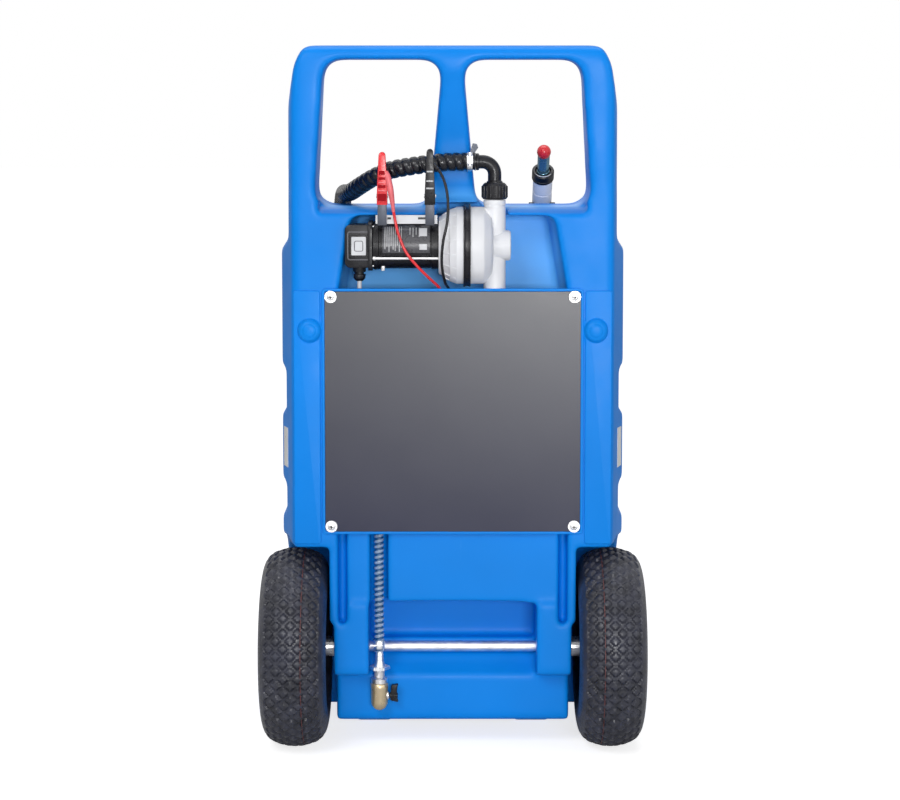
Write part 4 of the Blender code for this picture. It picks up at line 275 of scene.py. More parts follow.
def galvanised():
    """Zinc with its crystal spangle."""
    material = look(
        "galvanised", (0.86, 0.86, 0.87), 0.46, 1.0, patches=(60.0, 0.82), grain=(700.0, 0.00005), spread=0.12
    )
    tree = material.node_tree
    cells = tree.nodes.new("ShaderNodeTexVoronoi")
    cells.inputs["Scale"].default_value = 260.0
    wire(tree, object_place(tree), cells.inputs["Vector"])
    add_relief(material, cells.outputs["Distance"], 0.00025, 0.5)
    return material


# Painted light and shade: the sheet is lighter at its top and darker towards its foot, as the light falls on
# it
SHEET_PAINTED_LIT_TOP = (0.045, 0.046, 0.058)
SHEET_PAINTED_SHADE_FOOT = (0.002, 0.004, 0.030)


def coated_sheet():
    """Powder-coated anthracite sheet: fine orange peel, a broad soft sheen and painted shade that darkens it
    towards its foot.
    """
    material = look(
        "anthracite_sheet", SHEET_PAINTED_LIT_TOP, 0.30, patches=(2.2, 0.92), grain=(1500.0, 0.00003), spread=0.02,
        specular=0.55,
    )
    tree = material.node_tree
    base = shader_of(material).inputs["Base Color"]
    low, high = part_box("cover_plate")
    # Painted shade: the colour darkens from the plate's top down to its foot
    height = ramp(tree, place_parts(tree)["Z"], 0.0, 1.0, low[2], high[2])
    wire(tree, blend_colours(tree, height, SHEET_PAINTED_SHADE_FOOT, base.links[0].from_socket), base)
    add_relief(material, noise(tree, 260.0, 2.0), 0.00008, 0.5)
    return material


def tyre_rubber():
    """Dusty black rubber, greyer where the tread has been rubbed."""
    material = look(
        "tyre_rubber", (0.031, 0.033, 0.050), 0.43, patches=(40.0, 0.42), grain=(900.0, 0.00012), spread=0.12
    )
    add_relief(material, noise(material.node_tree, 330.0, 4.0), 0.0003, 0.5)
    return material


def clear_plastic():
    """The clear ribbed hose, greyed by what stands behind it."""
    material = look("clear_hose", (0.40, 0.54, 0.74), 0.22, patches=(30.0, 0.80), grain=(500.0, 0.00004))
    shader_of(material).inputs["Transmission Weight"].default_value = 0.45
    return material


def grained(name, colour, roughness, shade, patch_scale, grain=(1100.0, 0.00005), **more):
    """A plain finish of one colour."""
    return look(name, colour, roughness, patches=(patch_scale, shade), grain=grain, **more)


BLUE = moulded_blue()
ZINC = galvanised()
SHEET = coated_sheet()
TYRE = tyre_rubber()
CLEAR = clear_plastic()
HOSE_GROOVE = grained("clear_hose_groove", (0.010, 0.085, 0.230), 0.30, 0.70, 30.0, (500.0, 0.00004))
STEEL = grained(
    "bright_steel", (0.84, 0.84, 0.85), 0.33, 0.88, 50.0, (1200.0, 0.00002), metallic=1.0, spread=0.08,
    stretch=(1.0, 1.0, 0.2),
)
DULL_STEEL = grained(
    "dull_steel", (0.085, 0.095, 0.125), 0.46, 0.72, 90.0, (1000.0, 0.00004), metallic=0.30, spread=0.10
)
BLACK = grained(
    "black_plastic", (0.008, 0.008, 0.011), 0.34, 0.70, 30.0, (1100.0, 0.00006), spread=0.10, specular=0.32
)
BEZEL_GREY = grained("bezel_grey", (0.070, 0.070, 0.085), 0.36, 0.80, 30.0, (1100.0, 0.00006))
HOSE_BLACK = grained(
    "hose_guard", (0.006, 0.007, 0.012), 0.27, 0.60, 55.0, (900.0, 0.00005), spread=0.10, specular=0.42
)
RUBBER = grained("black_rubber", (0.020, 0.020, 0.022), 0.70, 0.70, 40.0, (800.0, 0.00008))
WHITE = grained("pump_white", (0.74, 0.75, 0.78), 0.42, 0.94, 14.0, (1300.0, 0.00007), spread=0.05)
LIGHT_GREY = grained("light_grey_plastic", (0.60, 0.61, 0.64), 0.40, 0.93, 25.0, (1200.0, 0.00005))
NOZZLE_GREY = grained("nozzle_grey", (0.96, 0.96, 0.98), 0.38, 0.92, 20.0)
SPOUT_GREY = grained(
    "spout_metal", (0.13, 0.27, 0.34), 0.22, 0.80, 40.0, (900.0, 0.00003), metallic=0.60,
    stretch=(0.2, 1.0, 1.0),
)
RED = grained("red_plastic", (0.78, 0.026, 0.034), 0.30, 0.82, 45.0)
# Painted shade: the dark red strips in the red clamp's notches; the pale red serves the boot and the painted
# highlights on the notches
NOTCH_SHADE_RED = grained("red_notch_painted_shade", (0.34, 0.003, 0.010), 0.60, 0.80, 45.0, specular=0.1)
PALE_RED_AND_NOTCH_HIGHLIGHT = grained("pale_red_boot_and_notch_highlight", (0.80, 0.16, 0.18), 0.36, 0.86, 45.0)
BRASS = grained(
    "brass", (0.66, 0.53, 0.33), 0.34, 0.86, 24.0, (900.0, 0.00002), metallic=0.75, spread=0.08
)
LABEL = grained("blank_label", (0.80, 0.80, 0.78), 0.34, 0.92, 35.0, (900.0, 0.00003))
# The ruled grey serves the rating plate's rules and the painted highlights on the black clamp's notches
RULE_AND_NOTCH_HIGHLIGHT_GREY = grained("ruled_grey_and_notch_highlight", (0.52, 0.53, 0.55), 0.40, 0.80, 60.0, (900.0, 0.00003))
LABEL_DARK = grained("blank_rating_plate", (0.055, 0.055, 0.065), 0.30, 0.80, 45.0, (900.0, 0.00003))
SEAM = grained("tyre_seam", (0.16, 0.045, 0.045), 0.60, 0.50, 120.0, (420.0, 0.00006))

# The colour slot that a finish belongs to
SLOT_OF = {
    material.name: slot
    for slot, materials in (
        ("blue_shell", (BLUE,)),
        ("zinc", (ZINC, DULL_STEEL)),
        ("bright_steel", (STEEL, SPOUT_GREY)),
        ("brass", (BRASS,)),
        ("tyre_rubber", (TYRE, SEAM)),
        ("rubber", (RUBBER,)),
        ("clear_hose", (CLEAR,)),
        ("black_plastic", (BLACK, HOSE_BLACK, LABEL_DARK, BEZEL_GREY)),
        ("white_plastic", (WHITE, LABEL)),
        ("grey_plastic", (LIGHT_GREY, NOZZLE_GREY, RULE_AND_NOTCH_HIGHLIGHT_GREY)),
        ("red_plastic", (RED, PALE_RED_AND_NOTCH_HIGHLIGHT, NOTCH_SHADE_RED)),
    )
    for material in materials
}


# Making pieces

EDGE_ANGLE = 35.0
ROUTE_STEPS = 24


def finish_piece(name, mesh, material, body="chassis", nodes=(), smooth_angle=EDGE_ANGLE, slot=None):
    """An object from a mesh drawn about the axle plane. It rides on a body and may stand for nodes."""
    mesh.transform(Matrix.Translation(TO_FRAME))
    mesh.materials.clear()
    mesh.materials.append(material)
    mesh.shade_smooth()
    mesh.set_sharp_from_angle(angle=math.radians(smooth_angle))
    obj = bpy.data.objects.new(name, mesh)
    bpy.context.collection.objects.link(obj)
    if body:
        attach(obj, body)
    if nodes:
        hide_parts(*nodes)
    return obj


def mesh_of(name, bm):
    mesh = bpy.data.meshes.new(name)
    bm.to_mesh(mesh)
    bm.free()
    return mesh


def piece(
    name, bm, material, body="chassis", nodes=(), bevel=0.0, segments=2, smooth_angle=EDGE_ANGLE, slot=None
):
    """A piece from a closed bmesh, its edges rounded by bevel."""
    bmesh.ops.remove_doubles(bm, verts=bm.verts, dist=1e-7)
    bmesh.ops.recalc_face_normals(bm, faces=bm.faces)
    if bevel:
        sharp = [
            e for e in bm.edges
            if len(e.link_faces) == 2 and e.calc_face_angle(0.0) > math.radians(smooth_angle)
        ]
        bmesh.ops.bevel(
            bm, geom=sharp, offset=bevel, offset_type="OFFSET", segments=segments,
            profile=0.5, affect="EDGES", clamp_overlap=True,
        )
        bmesh.ops.recalc_face_normals(bm, faces=bm.faces)
    return finish_piece(name, mesh_of(name, bm), material, body, nodes, smooth_angle, slot)


def dress(node, material, bevel=0.0006, segments=2):
    """Gives a node that keeps its solid a small rounding and its own finish."""
    obj = NODES[node]
    for material_slot in obj.material_slots:
        material_slot.material = material
    if not obj.material_slots:
        obj.data.materials.append(material)
    if bevel:
        rounding = obj.modifiers.new("rounded_edges", "BEVEL")
        rounding.width = bevel
        rounding.segments = segments
        rounding.limit_method = "ANGLE"
        rounding.angle_limit = math.radians(EDGE_ANGLE)
        rounding.harden_normals = False


def in_space(axis, a, b, along):
    """A point along an axis, with a and b across it."""
    if axis == "X":
        return Vector((along, a, b))
    if axis == "Y":
        return Vector((a, along, b))
    return Vector((a, b, along))


def join_rings(bm, near, far):
    """Faces between two closed rings of vertices."""
    for i in range(len(near)):
        j = (i + 1) % len(near)
        bm.faces.new((near[i], near[j], far[j], far[i]))


def slab(near_points, far_points, into=None):
    """A closed form between two outlines of as many points."""
    bm = into or bmesh.new()
    near = [bm.verts.new(point) for point in near_points]
    far = [bm.verts.new(point) for point in far_points]
    bm.faces.new(near)
    bm.faces.new(far)
    join_rings(bm, near, far)
    return bm


def turned(profile, axis, centre, steps=48, closed=False, wave=None, into=None):
    """A profile of (along, radius) turned about an axis; wave(angle, along, radius) may change a radius."""
    bm = into or bmesh.new()
    centre = Vector(centre)
    rings = []
    for along, radius in profile:
        if radius < 1e-7:
            rings.append([bm.verts.new(centre + in_space(axis, 0.0, 0.0, along))])
            continue
        ring = []
        for i in range(steps):
            angle = 2 * math.pi * i / steps
            r = wave(angle, along, radius) if wave else radius
            spot = in_space(axis, r * math.sin(angle), -r * math.cos(angle), along)
            ring.append(bm.verts.new(centre + spot))
        rings.append(ring)
    pairs = list(zip(rings, rings[1:]))
    if closed:
        pairs.append((rings[-1], rings[0]))
    for one, two in pairs:
        for i in range(steps):
            j = (i + 1) % steps
            corners = [one[i % len(one)], one[j % len(one)], two[j % len(two)], two[i % len(two)]]
            bm.faces.new(list(dict.fromkeys(corners)))
    return bm


def spun(name, material, profile, axis, centre, steps=48, closed=False, wave=None, **more):
    """A turned piece. axis is a letter, or the direction in which a profile from centre runs."""
    if isinstance(axis, str):
        bm = turned(profile, axis, centre, steps, closed, wave)
    else:
        bm = turned(profile, "Z", (0, 0, 0), steps, closed, wave)
        turn = axis.to_track_quat("Z", "X").to_matrix().to_4x4()
        bmesh.ops.transform(bm, matrix=Matrix.Translation(centre) @ turn, verts=bm.verts)
    return piece(name, bm, material, **more)


def prism(outline, axis, low, high, into=None):
    near = [in_space(axis, a, b, low) for a, b in outline]
    far = [in_space(axis, a, b, high) for a, b in outline]
    return slab(near, far, into)


def block(low, high, into=None):
    outline = [(low[0], low[1]), (high[0], low[1]), (high[0], high[1]), (low[0], high[1])]
    return prism(outline, "Z", low[2], high[2], into)


def round_outline(low, high, radius, steps):
    """Points round a rectangle with round corners."""
    points = []
    for a, b, first in (
        (high[0] - radius, high[1] - radius, 0), (low[0] + radius, high[1] - radius, 90),
        (low[0] + radius, low[1] + radius, 180), (high[0] - radius, low[1] + radius, 270),
    ):
        for step in range(steps + 1):
            angle = math.radians(first + 90 * step / steps)
            points.append((a + radius * math.cos(angle), b + radius * math.sin(angle)))
    return points


def round_box(name, material, low, high, axis, radius, steps=5, **more):
    """A block whose edges along one axis are round."""
    index = "XYZ".index(axis)
    a, b = [i for i in range(3) if i != index]
    outline = round_outline((low[a], low[b]), (high[a], high[b]), radius, steps)
    return piece(name, prism(outline, axis, low[index], high[index]), material, **more)


def frame_ring(x, z, half_w, half_h, wall, front, back, radius):
    """A rectangular frame with round corners, facing the operator."""
    bm = bmesh.new()
    rings = []
    for inset, y in ((0.0, back), (0.0, front), (wall, front), (wall, back)):
        w = half_w - inset
        h = half_h - inset
        outline = round_outline((x - w, z - h), (x + w, z + h), max(0.0012, radius - inset), 5)
        rings.append([bm.verts.new((a, y, b)) for a, b in outline])
    for near, far in zip(rings, rings[1:] + rings[:1]):
        join_rings(bm, near, far)
    return bm


def distances(line):
    return np.concatenate([[0.0], np.cumsum(np.linalg.norm(np.diff(line, axis=0), axis=1))])


def length_of(line):
    return float(distances(np.asarray(line, float))[-1])


def even_points(line, step):
    """The same line in points about one step apart."""
    along = distances(line)
    count = max(3, round(along[-1] / step) + 1)
    at = np.linspace(0.0, along[-1], count)
    return np.stack([np.interp(at, along, line[:, k]) for k in range(3)], axis=1)


def smooth_route(points, step):
    """Evenly spaced points on a smooth curve through the route's own points."""
    knots = np.array(points, float)
    ends = np.vstack([2 * knots[0] - knots[1], knots, 2 * knots[-1] - knots[-2]])
    fine = []
    for i in range(len(knots) - 1):
        p0, p1, p2, p3 = ends[i : i + 4]
        square = 2 * p0 - 5 * p1 + 4 * p2 - p3
        cube = 3 * p1 - p0 - 3 * p2 + p3
        for t in np.linspace(0.0, 1.0, ROUTE_STEPS, endpoint=False):
            fine.append(0.5 * (2 * p1 + (p2 - p0) * t + square * t**2 + cube * t**3))
    return even_points(np.array(fine + [knots[-1]]), step)


def cross_directions(line):
    """Two directions across a line, point by point, that don't twist."""
    along = np.gradient(line, axis=0)
    along /= np.linalg.norm(along, axis=1)[:, None]
    side = np.cross(along[0], (0.0, 0.0, 1.0))
    if np.linalg.norm(side) < 0.1:
        side = np.cross(along[0], (1.0, 0.0, 0.0))
    sides = []
    for t in along:
        side = side - t * np.dot(side, t)
        side = side / np.linalg.norm(side)
        sides.append(side)
    sides = np.array(sides)
    return sides, np.cross(along, sides)


def grid_mesh(name, points, closed_rows):
    """A mesh from rows of points that each go round. The first and last row are joined or closed."""
    rows, segments = points.shape[:2]
    faces = []
    for i in range(rows if closed_rows else rows - 1):
        near = i * segments
        far = (i + 1) % rows * segments
        for j in range(segments):
            k = (j + 1) % segments
            faces.append((near + j, near + k, far + k, far + j))
    if not closed_rows:
        faces.append(tuple(range(segments - 1, -1, -1)))
        faces.append(tuple((rows - 1) * segments + j for j in range(segments)))
    mesh = bpy.data.meshes.new(name)
    mesh.from_pydata(points.reshape(-1, 3).tolist(), [], faces)
    bm = bmesh.new()
    bm.from_mesh(mesh)
    bmesh.ops.recalc_face_normals(bm, faces=bm.faces)
    bm.to_mesh(mesh)
    bm.free()
    return mesh


def tube(name, material, line, radius, segments=16, radii=None, flat=1.0, smooth_angle=60.0, **more):
    """A round tube along a line, its ends closed; radii scale its radius point by point."""
    line = np.asarray(line, float)
    sides, ups = cross_directions(line)
    angles = 2 * np.pi * np.arange(segments) / segments
    scale = np.ones(len(line)) if radii is None else np.asarray(radii, float)
    ring = np.cos(angles)[None, :, None] * sides[:, None, :] * flat
    ring = ring + np.sin(angles)[None, :, None] * ups[:, None, :]
    points = line[:, None, :] + ring * radius * scale[:, None, None]
    mesh = grid_mesh(name, points, closed_rows=False)
    return finish_piece(name, mesh, material, smooth_angle=smooth_angle, **more)


def spiral_mesh(name, line, radius, pitch, section, segments, start, end):
    """A hose with one helical rib. section is the radius share at equal steps over one pitch.

    start and end are lengths along the line, so that two pieces of one hose carry the rib on.
    """
    along = distances(line)
    sides, ups = cross_directions(line)
    steps = len(section)
    # One row of vertices per step of the section; going once round moves a row on by one pitch
    cells = np.arange((math.floor(start / pitch) - 1) * steps, (math.ceil(end / pitch) + 1) * steps + 1)
    turns = np.arange(segments) / segments
    share = np.asarray(section, float)[np.mod(cells, steps)]
    radii = np.repeat(share[:, None], segments, axis=1) * radius
    position = np.clip((cells[:, None] / steps + turns[None, :]) * pitch, start, end)
    angles = 2 * np.pi * turns

    def at_position(values):
        return np.stack([np.interp(position, along, values[:, k]) for k in range(3)], axis=-1)

    across = np.cos(angles)[None, :, None] * at_position(sides)
    across = across + np.sin(angles)[None, :, None] * at_position(ups)
    points = at_position(line) + radii[..., None] * across
    rows = len(cells)
    keep = (position.max(axis=1) > start) & (position.min(axis=1) < end)
    index = np.arange(rows * segments).reshape(rows, segments)
    faces = []
    for i in range(rows - 1):
        if keep[i] or keep[i + 1]:
            for s in range(segments - 1):
                faces.append((index[i, s], index[i, s + 1], index[i + 1, s + 1], index[i + 1, s]))
    # The seam: the last column meets the first one a pitch further on
    last = segments - 1
    for i in range(rows - 1 - steps):
        faces.append((index[i, last], index[i + steps, 0], index[i + steps + 1, 0], index[i + 1, last]))
    bm = bmesh.new()
    verts = [bm.verts.new(p) for p in points.reshape(-1, 3)]
    for face in faces:
        bm.faces.new([verts[k] for k in face])
    flat = position.reshape(-1)
    for limit in (start, end):
        near = [verts[k] for k in np.nonzero(np.abs(flat - limit) < 1e-9)[0]]
        bmesh.ops.remove_doubles(bm, verts=near, dist=radius * 0.02)
    bmesh.ops.delete(bm, geom=[v for v in bm.verts if not v.link_faces], context="VERTS")
    bmesh.ops.dissolve_degenerate(bm, dist=1e-6, edges=bm.edges)
    rim = [e for e in bm.edges if len(e.link_faces) == 1]
    bmesh.ops.holes_fill(bm, edges=rim, sides=0)
    bmesh.ops.recalc_face_normals(bm, faces=bm.faces)
    return mesh_of(name, bm)


# Cords: their routes are those of the part's source

HOSE_RADIUS = 0.0135
HOSE_LEAD_ROUTE = [
    (0.0337, -0.045, 0.8852), (0.012, -0.045, 0.8852), (-0.012, -0.045, 0.8845), (-0.036, -0.045, 0.8820),
    (-0.062, -0.0440, 0.8785), (-0.092, -0.0360, 0.8725), (-0.118, -0.0190, 0.8610), (-0.139, 0.0080, 0.8480),
    (-0.153, 0.0440, 0.8385), (-0.162, 0.0860, 0.8350), (-0.168, 0.1320, 0.8330), (-0.172, 0.1760, 0.8210),
    (-0.176, 0.2190, 0.7960), (-0.179, 0.2570, 0.7560), (-0.180, 0.2900, 0.7040), (-0.180, 0.3150, 0.6400),
    (-0.180, 0.3290, 0.5700), (-0.180, 0.3335, 0.5100), (-0.180, 0.3335, 0.4900), (-0.180, 0.3335, 0.4700),
    (-0.180, 0.3335, 0.4538),
]
COIL_X = -0.015
COIL_Z = 0.440
COIL_Y = 0.3335
COIL_RADIUS = 0.165
COIL_PITCH = 0.028
COIL_TURNS = 3.5
COIL_LAYER_TURNS = 1.5
COIL_TUCK = 0.18
COIL_STEPS = 48
GUARD_PITCH = 0.0125
GUARD_SECTION = (0.86, 0.93, 0.99, 1.0, 1.0, 1.0, 0.99, 0.93)
SWIVEL_LENGTH = 0.0303
CORD_STEP = 0.004
RED_LEAD_ROUTE = [
    (-0.0865, -0.0780, 0.8130), (-0.0835, -0.0860, 0.7980), (-0.0790, -0.0905, 0.7800),
    (-0.0690, -0.0910, 0.7560), (-0.0540, -0.0880, 0.7360), (-0.0360, -0.0760, 0.7170),
    (-0.0200, -0.0560, 0.7000), (-0.0070, -0.0420, 0.6780), (-0.0020, -0.0370, 0.6500),
    (0.0002, -0.0360, 0.6250), (0.0002, -0.0360, 0.6055),
]
BLACK_LEAD_ROUTE = [
    (-0.0250, -0.0830, 0.8780), (-0.0185, -0.0885, 0.8710), (-0.0110, -0.0975, 0.8540),
    (-0.0070, -0.1060, 0.8300), (-0.0080, -0.1110, 0.8000), (-0.0140, -0.1120, 0.7700),
    (-0.0160, -0.1050, 0.7400), (-0.0120, -0.0800, 0.7120), (-0.0060, -0.0540, 0.6980),
    (0.0010, -0.0390, 0.6780), (0.0050, -0.0360, 0.6500), (0.0058, -0.0360, 0.6250),
    (0.0058, -0.0360, 0.6055),
]
LEAD_RADIUS = 0.0021
BATTERY_COIL = (-0.045, -0.036, 0.575)
BATTERY_COIL_RADIUS = 0.048
BATTERY_COIL_PITCH = 0.0076
BATTERY_COIL_TURNS = 3.25
BATTERY_COIL_STEPS = 32
BATTERY_CABLE_RISE = 0.030
CABLE_RADIUS = 0.0034
SPLITTER_HALF = 0.0085


def coil_line():
    """The hose's middle line: it spirals in, climbs a layer in half a turn and spirals out again."""
    points = [(COIL_X - COIL_RADIUS, COIL_Y, COIL_Z + HOSE_RADIUS)]
    for i in range(int(round(COIL_TURNS * COIL_STEPS)) + 1):
        turn = i / COIL_STEPS
        inward = min(turn, COIL_LAYER_TURNS)
        outward = max(0.0, turn - COIL_LAYER_TURNS - 0.5)
        share = min(1.0, max(0.0, (turn - COIL_LAYER_TURNS) / 0.5))
        climb = share * share * (3 - 2 * share)
        tuck = COIL_TUCK * math.sin(math.pi * share)
        r = COIL_RADIUS - COIL_PITCH * (inward - outward + tuck)
        angle = math.pi + 2 * math.pi * turn
        x = COIL_X + r * math.cos(angle)
        points.append((x, COIL_Y + COIL_PITCH * climb, COIL_Z + r * math.sin(angle)))
    points.append((COIL_X + COIL_RADIUS, COIL_Y + COIL_PITCH, COIL_Z + HOSE_RADIUS))
    return points


def tail_line():
    """From the end of the coil up to the nozzle's swivel."""
    top, down = joint_place("hose_swivel_turn")
    start = top + down * (SWIVEL_LENGTH + GAP)
    end_x = COIL_X + COIL_RADIUS
    end_y = COIL_Y + COIL_PITCH
    coil_end = COIL_Z + HOSE_RADIUS + GAP
    points = [tuple(start + down * reach) for reach in (0.0, 0.017, 0.034)]
    points.append(((top.x + end_x) / 2, end_y - 0.001, coil_end + 0.052))
    points += [(end_x, end_y, coil_end + reach) for reach in (0.034, 0.017, 0.0)]
    return points[::-1]


def guarded_hose(name, line, start, end, body, nodes):
    mesh = spiral_mesh(name, line, HOSE_RADIUS, GUARD_PITCH, GUARD_SECTION, 24, start, end)
    return finish_piece(name, mesh, HOSE_BLACK, body, nodes, 60.0)


def make_delivery_hose():
    """The hose in its spiral guard: one piece to the coil's end, and the tail up to the nozzle's swivel as a
    piece of its own.
    """
    lead = smooth_route(HOSE_LEAD_ROUTE, CORD_STEP)
    coil = even_points(np.array(coil_line(), float), CORD_STEP)
    fixed = np.vstack([lead[:-1], coil])
    tail = smooth_route(tail_line(), CORD_STEP)
    whole = np.vstack([fixed, tail[1:]])
    fixed_length = length_of(fixed)
    main = guarded_hose("delivery_hose", whole, 0.0, fixed_length, "chassis", ("hose_lead", "hose_coil"))
    end = guarded_hose("delivery_hose_tail", whole, fixed_length, length_of(whole), None, ("hose_tail",))
    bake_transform(end)


def make_lead(colour_name, route, material):
    line = smooth_route(route, CORD_STEP)
    lead = tube(
        f"{colour_name}_clamp_lead", material, line, LEAD_RADIUS, 12, nodes=(f"{colour_name}_lead",)
    )


def make_splitter():
    """A small moulded block where the two leads meet the battery cable."""
    x, y, z = (Vector(RED_LEAD_ROUTE[-1]) + Vector(BLACK_LEAD_ROUTE[-1])) / 2
    depth = CABLE_RADIUS + 0.0012
    low = (x - SPLITTER_HALF, y - depth, z - 0.004)
    high = (x + SPLITTER_HALF, y + depth, z + 0.012)
    return round_box("lead_splitter", RUBBER, low, high, "Z", 0.0035, bevel=0.0012)


def make_battery_cable():
    """The coiled cable in the compartment, from the splitter to the fuse box."""
    x, y, z = BATTERY_COIL
    r = BATTERY_COIL_RADIUS
    coil = []
    for i in range(round(BATTERY_COIL_TURNS * BATTERY_COIL_STEPS) + 1):
        turn = i / BATTERY_COIL_STEPS
        angle = -2 * math.pi * turn
        coil.append((x + r * math.cos(angle), y + BATTERY_COIL_PITCH * turn, z + r * math.sin(angle)))
    x, y, z = coil[0]
    lead_in = [(x, y, z + BATTERY_CABLE_RISE * share) for share in (1.0, 0.6, 0.25)]
    last_x, last_y, last_z = coil[-1]
    socket_x = span("fuse_box")[1].x + GAP
    lead_out = [(last_x + (socket_x - last_x) * share, last_y, last_z) for share in (0.3, 1.0)]
    line = even_points(np.array(lead_in + coil + lead_out, float), 0.003)
    cable = tube(
        "battery_cable_coiled", RUBBER, line, CABLE_RADIUS, 14, nodes=("battery_cable",), slot="black_plastic"
    )


make_delivery_hose()
SPLITTER = make_splitter()
make_lead("red", RED_LEAD_ROUTE, RED)
make_lead("black", BLACK_LEAD_ROUTE, BLACK)
make_battery_cable()


# Tank

TANK_NODES = ("tank_rear", "tank_front", "tank_deck", "tank_handle")
JOIN_OVERLAP = 0.001
TANK_CELL = 0.0034
EDGE_PASSES = 5
HANDLE_PASSES = 14
BOSS_X = 0.2115
BOSS_Z = 0.637
COLUMN_HALF = 0.2366
PAD_PROUD = 0.0020
PAD_BOTTOM_Z = 0.318
SEAT_RIM = 0.0046
SEAT_PROUD = 0.0026
LABEL_Z = (0.428, 0.4875)
LABEL_Y = (-0.0265, -0.0020)
LABEL_THICK = 0.0005
CORNER_RUN = 0.070
CORNER_RISE = 0.0204


def tank_shell():
    """The four shells of the tank as one mesh in the frame's coordinates, overlapping where they meet."""
    bm = bmesh.new()
    meets = {
        "tank_rear": (1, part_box("tank_rear")[1][1], JOIN_OVERLAP),
        "tank_deck": (2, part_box("tank_deck")[0][2], -JOIN_OVERLAP),
        "tank_handle": (2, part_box("tank_handle")[0][2], -JOIN_OVERLAP),
    }
    for node in TANK_NODES:
        mesh = NODES[node].data.copy()
        if node in meets:
            axis, value, by = meets[node]
            for vertex in mesh.vertices:
                if abs(vertex.co[axis] - value) < 1e-4:
                    vertex.co[axis] += by
        bm.from_mesh(mesh)
        bpy.data.meshes.remove(mesh)
    return mesh_of("tank_shell", bm)


def eased(mesh, passes, weight):
    """Smooths a mesh; weight(points) says how much each vertex moves in a pass."""
    count = len(mesh.vertices)
    points = np.empty(count * 3)
    mesh.vertices.foreach_get("co", points)
    points = points.reshape(-1, 3)
    edges = np.empty(len(mesh.edges) * 2, dtype=np.int64)
    mesh.edges.foreach_get("vertices", edges)
    edges = edges.reshape(-1, 2)
    degree = np.bincount(edges.ravel(), minlength=count).astype(float)
    share = weight(points)[:, None]
    for _ in range(passes):
        total = np.empty_like(points)
        for k in range(3):
            total[:, k] = np.bincount(edges[:, 0], points[edges[:, 1], k], count)
            total[:, k] += np.bincount(edges[:, 1], points[edges[:, 0], k], count)
        points += share * 0.5 * (total / degree[:, None] - points)
    mesh.vertices.foreach_set("co", points.ravel())
    mesh.update()


def make_tank():
    """The moulded tank as one skin, every edge rounded as it comes out of the mould."""
    guide = bpy.data.objects.new("tank_guide", tank_shell())
    bpy.context.collection.objects.link(guide)
    skin = guide.modifiers.new("skin", "REMESH")
    skin.mode = "VOXEL"
    skin.voxel_size = TANK_CELL
    graph = bpy.context.evaluated_depsgraph_get()
    mesh = bpy.data.meshes.new_from_object(guide.evaluated_get(graph))
    bpy.data.objects.remove(guide, do_unlink=True)
    mesh.name = "tank"
    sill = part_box("tank_handle")[0][2]
    eased(mesh, EDGE_PASSES, lambda p: np.ones(len(p)))
    eased(mesh, HANDLE_PASSES, lambda p: np.clip((p[:, 2] - sill - 0.01) / 0.03, 0.0, 1.0))
    mesh.transform(Matrix.Translation(-TO_FRAME))
    finish_piece("tank", mesh, BLUE, nodes=TANK_NODES, smooth_angle=180.0)


def make_plate_seat():
    """The moulded seat round the plate, and the flat pad on each column beside it."""
    low, high = span("cover_plate")
    face = high.y + GAP
    seat = frame_ring(
        0.0, (low.z + high.z) / 2, high.x + SEAT_RIM, (high.z - low.z) / 2 + SEAT_RIM, SEAT_RIM - GAP,
        face - SEAT_PROUD, face + 0.003, 0.006,
    )
    piece("plate_seat", seat, BLUE, bevel=0.0011, segments=3)
    inner_x = high.x + SEAT_RIM + 0.0022
    outer_x = COLUMN_HALF - 0.0012
    for side, name in SIDES:
        near, far = sorted((side * inner_x, side * outer_x))
        round_box(
            f"column_pad_{name}", BLUE, (near, face - PAD_PROUD, PAD_BOTTOM_Z),
            (far, face + 0.003, high.z + 0.0015), "Y", 0.004, 4, bevel=0.0015, segments=3,
        )


def make_bosses():
    """The two round moulded bosses beside the plate: a steep rounded side and a low dome."""
    face = span("cover_plate")[1].y + GAP - PAD_PROUD
    profile = [
        (0.004, 0.0), (0.004, 0.0182), (0.0006, 0.0182), (-0.0004, 0.0178), (-0.0022, 0.0170),
        (-0.0048, 0.0148), (-0.0062, 0.0126), (-0.0066, 0.0112), (-0.0067, 0.0104),
        (-0.0076, 0.0094), (-0.0083, 0.0078), (-0.0088, 0.0048), (-0.0090, 0.0),
    ]
    for side, name in SIDES:
        spun(f"moulded_boss_{name}", BLUE, profile, "Y", (side * BOSS_X, face, BOSS_Z), smooth_angle=70.0)


def make_side_labels():
    """A blank white label on each bevelled rear corner, inside the moulded bulge."""
    rear = span("cover_plate")[1].y + GAP
    half = span("tank_front")[1].x
    out = Vector((CORNER_RUN, -CORNER_RISE)).normalized()
    near, far = (Vector((half - CORNER_RISE * (1 - (y - rear) / CORNER_RUN), y)) for y in LABEL_Y)
    outline = [near - out * 0.001, far - out * 0.001, far + out * LABEL_THICK, near + out * LABEL_THICK]
    for side, name in SIDES:
        piece(f"side_label_{name}", prism([(side * p.x, p.y) for p in outline], "Z", *LABEL_Z), LABEL)


make_tank()
make_plate_seat()
make_bosses()
make_side_labels()


# Cover plate and screws

SCREW_RADIUS = 0.0056
SCREW_HEIGHT = 0.003
WASHER_RADIUS = 0.0090
WASHER = 0.0015


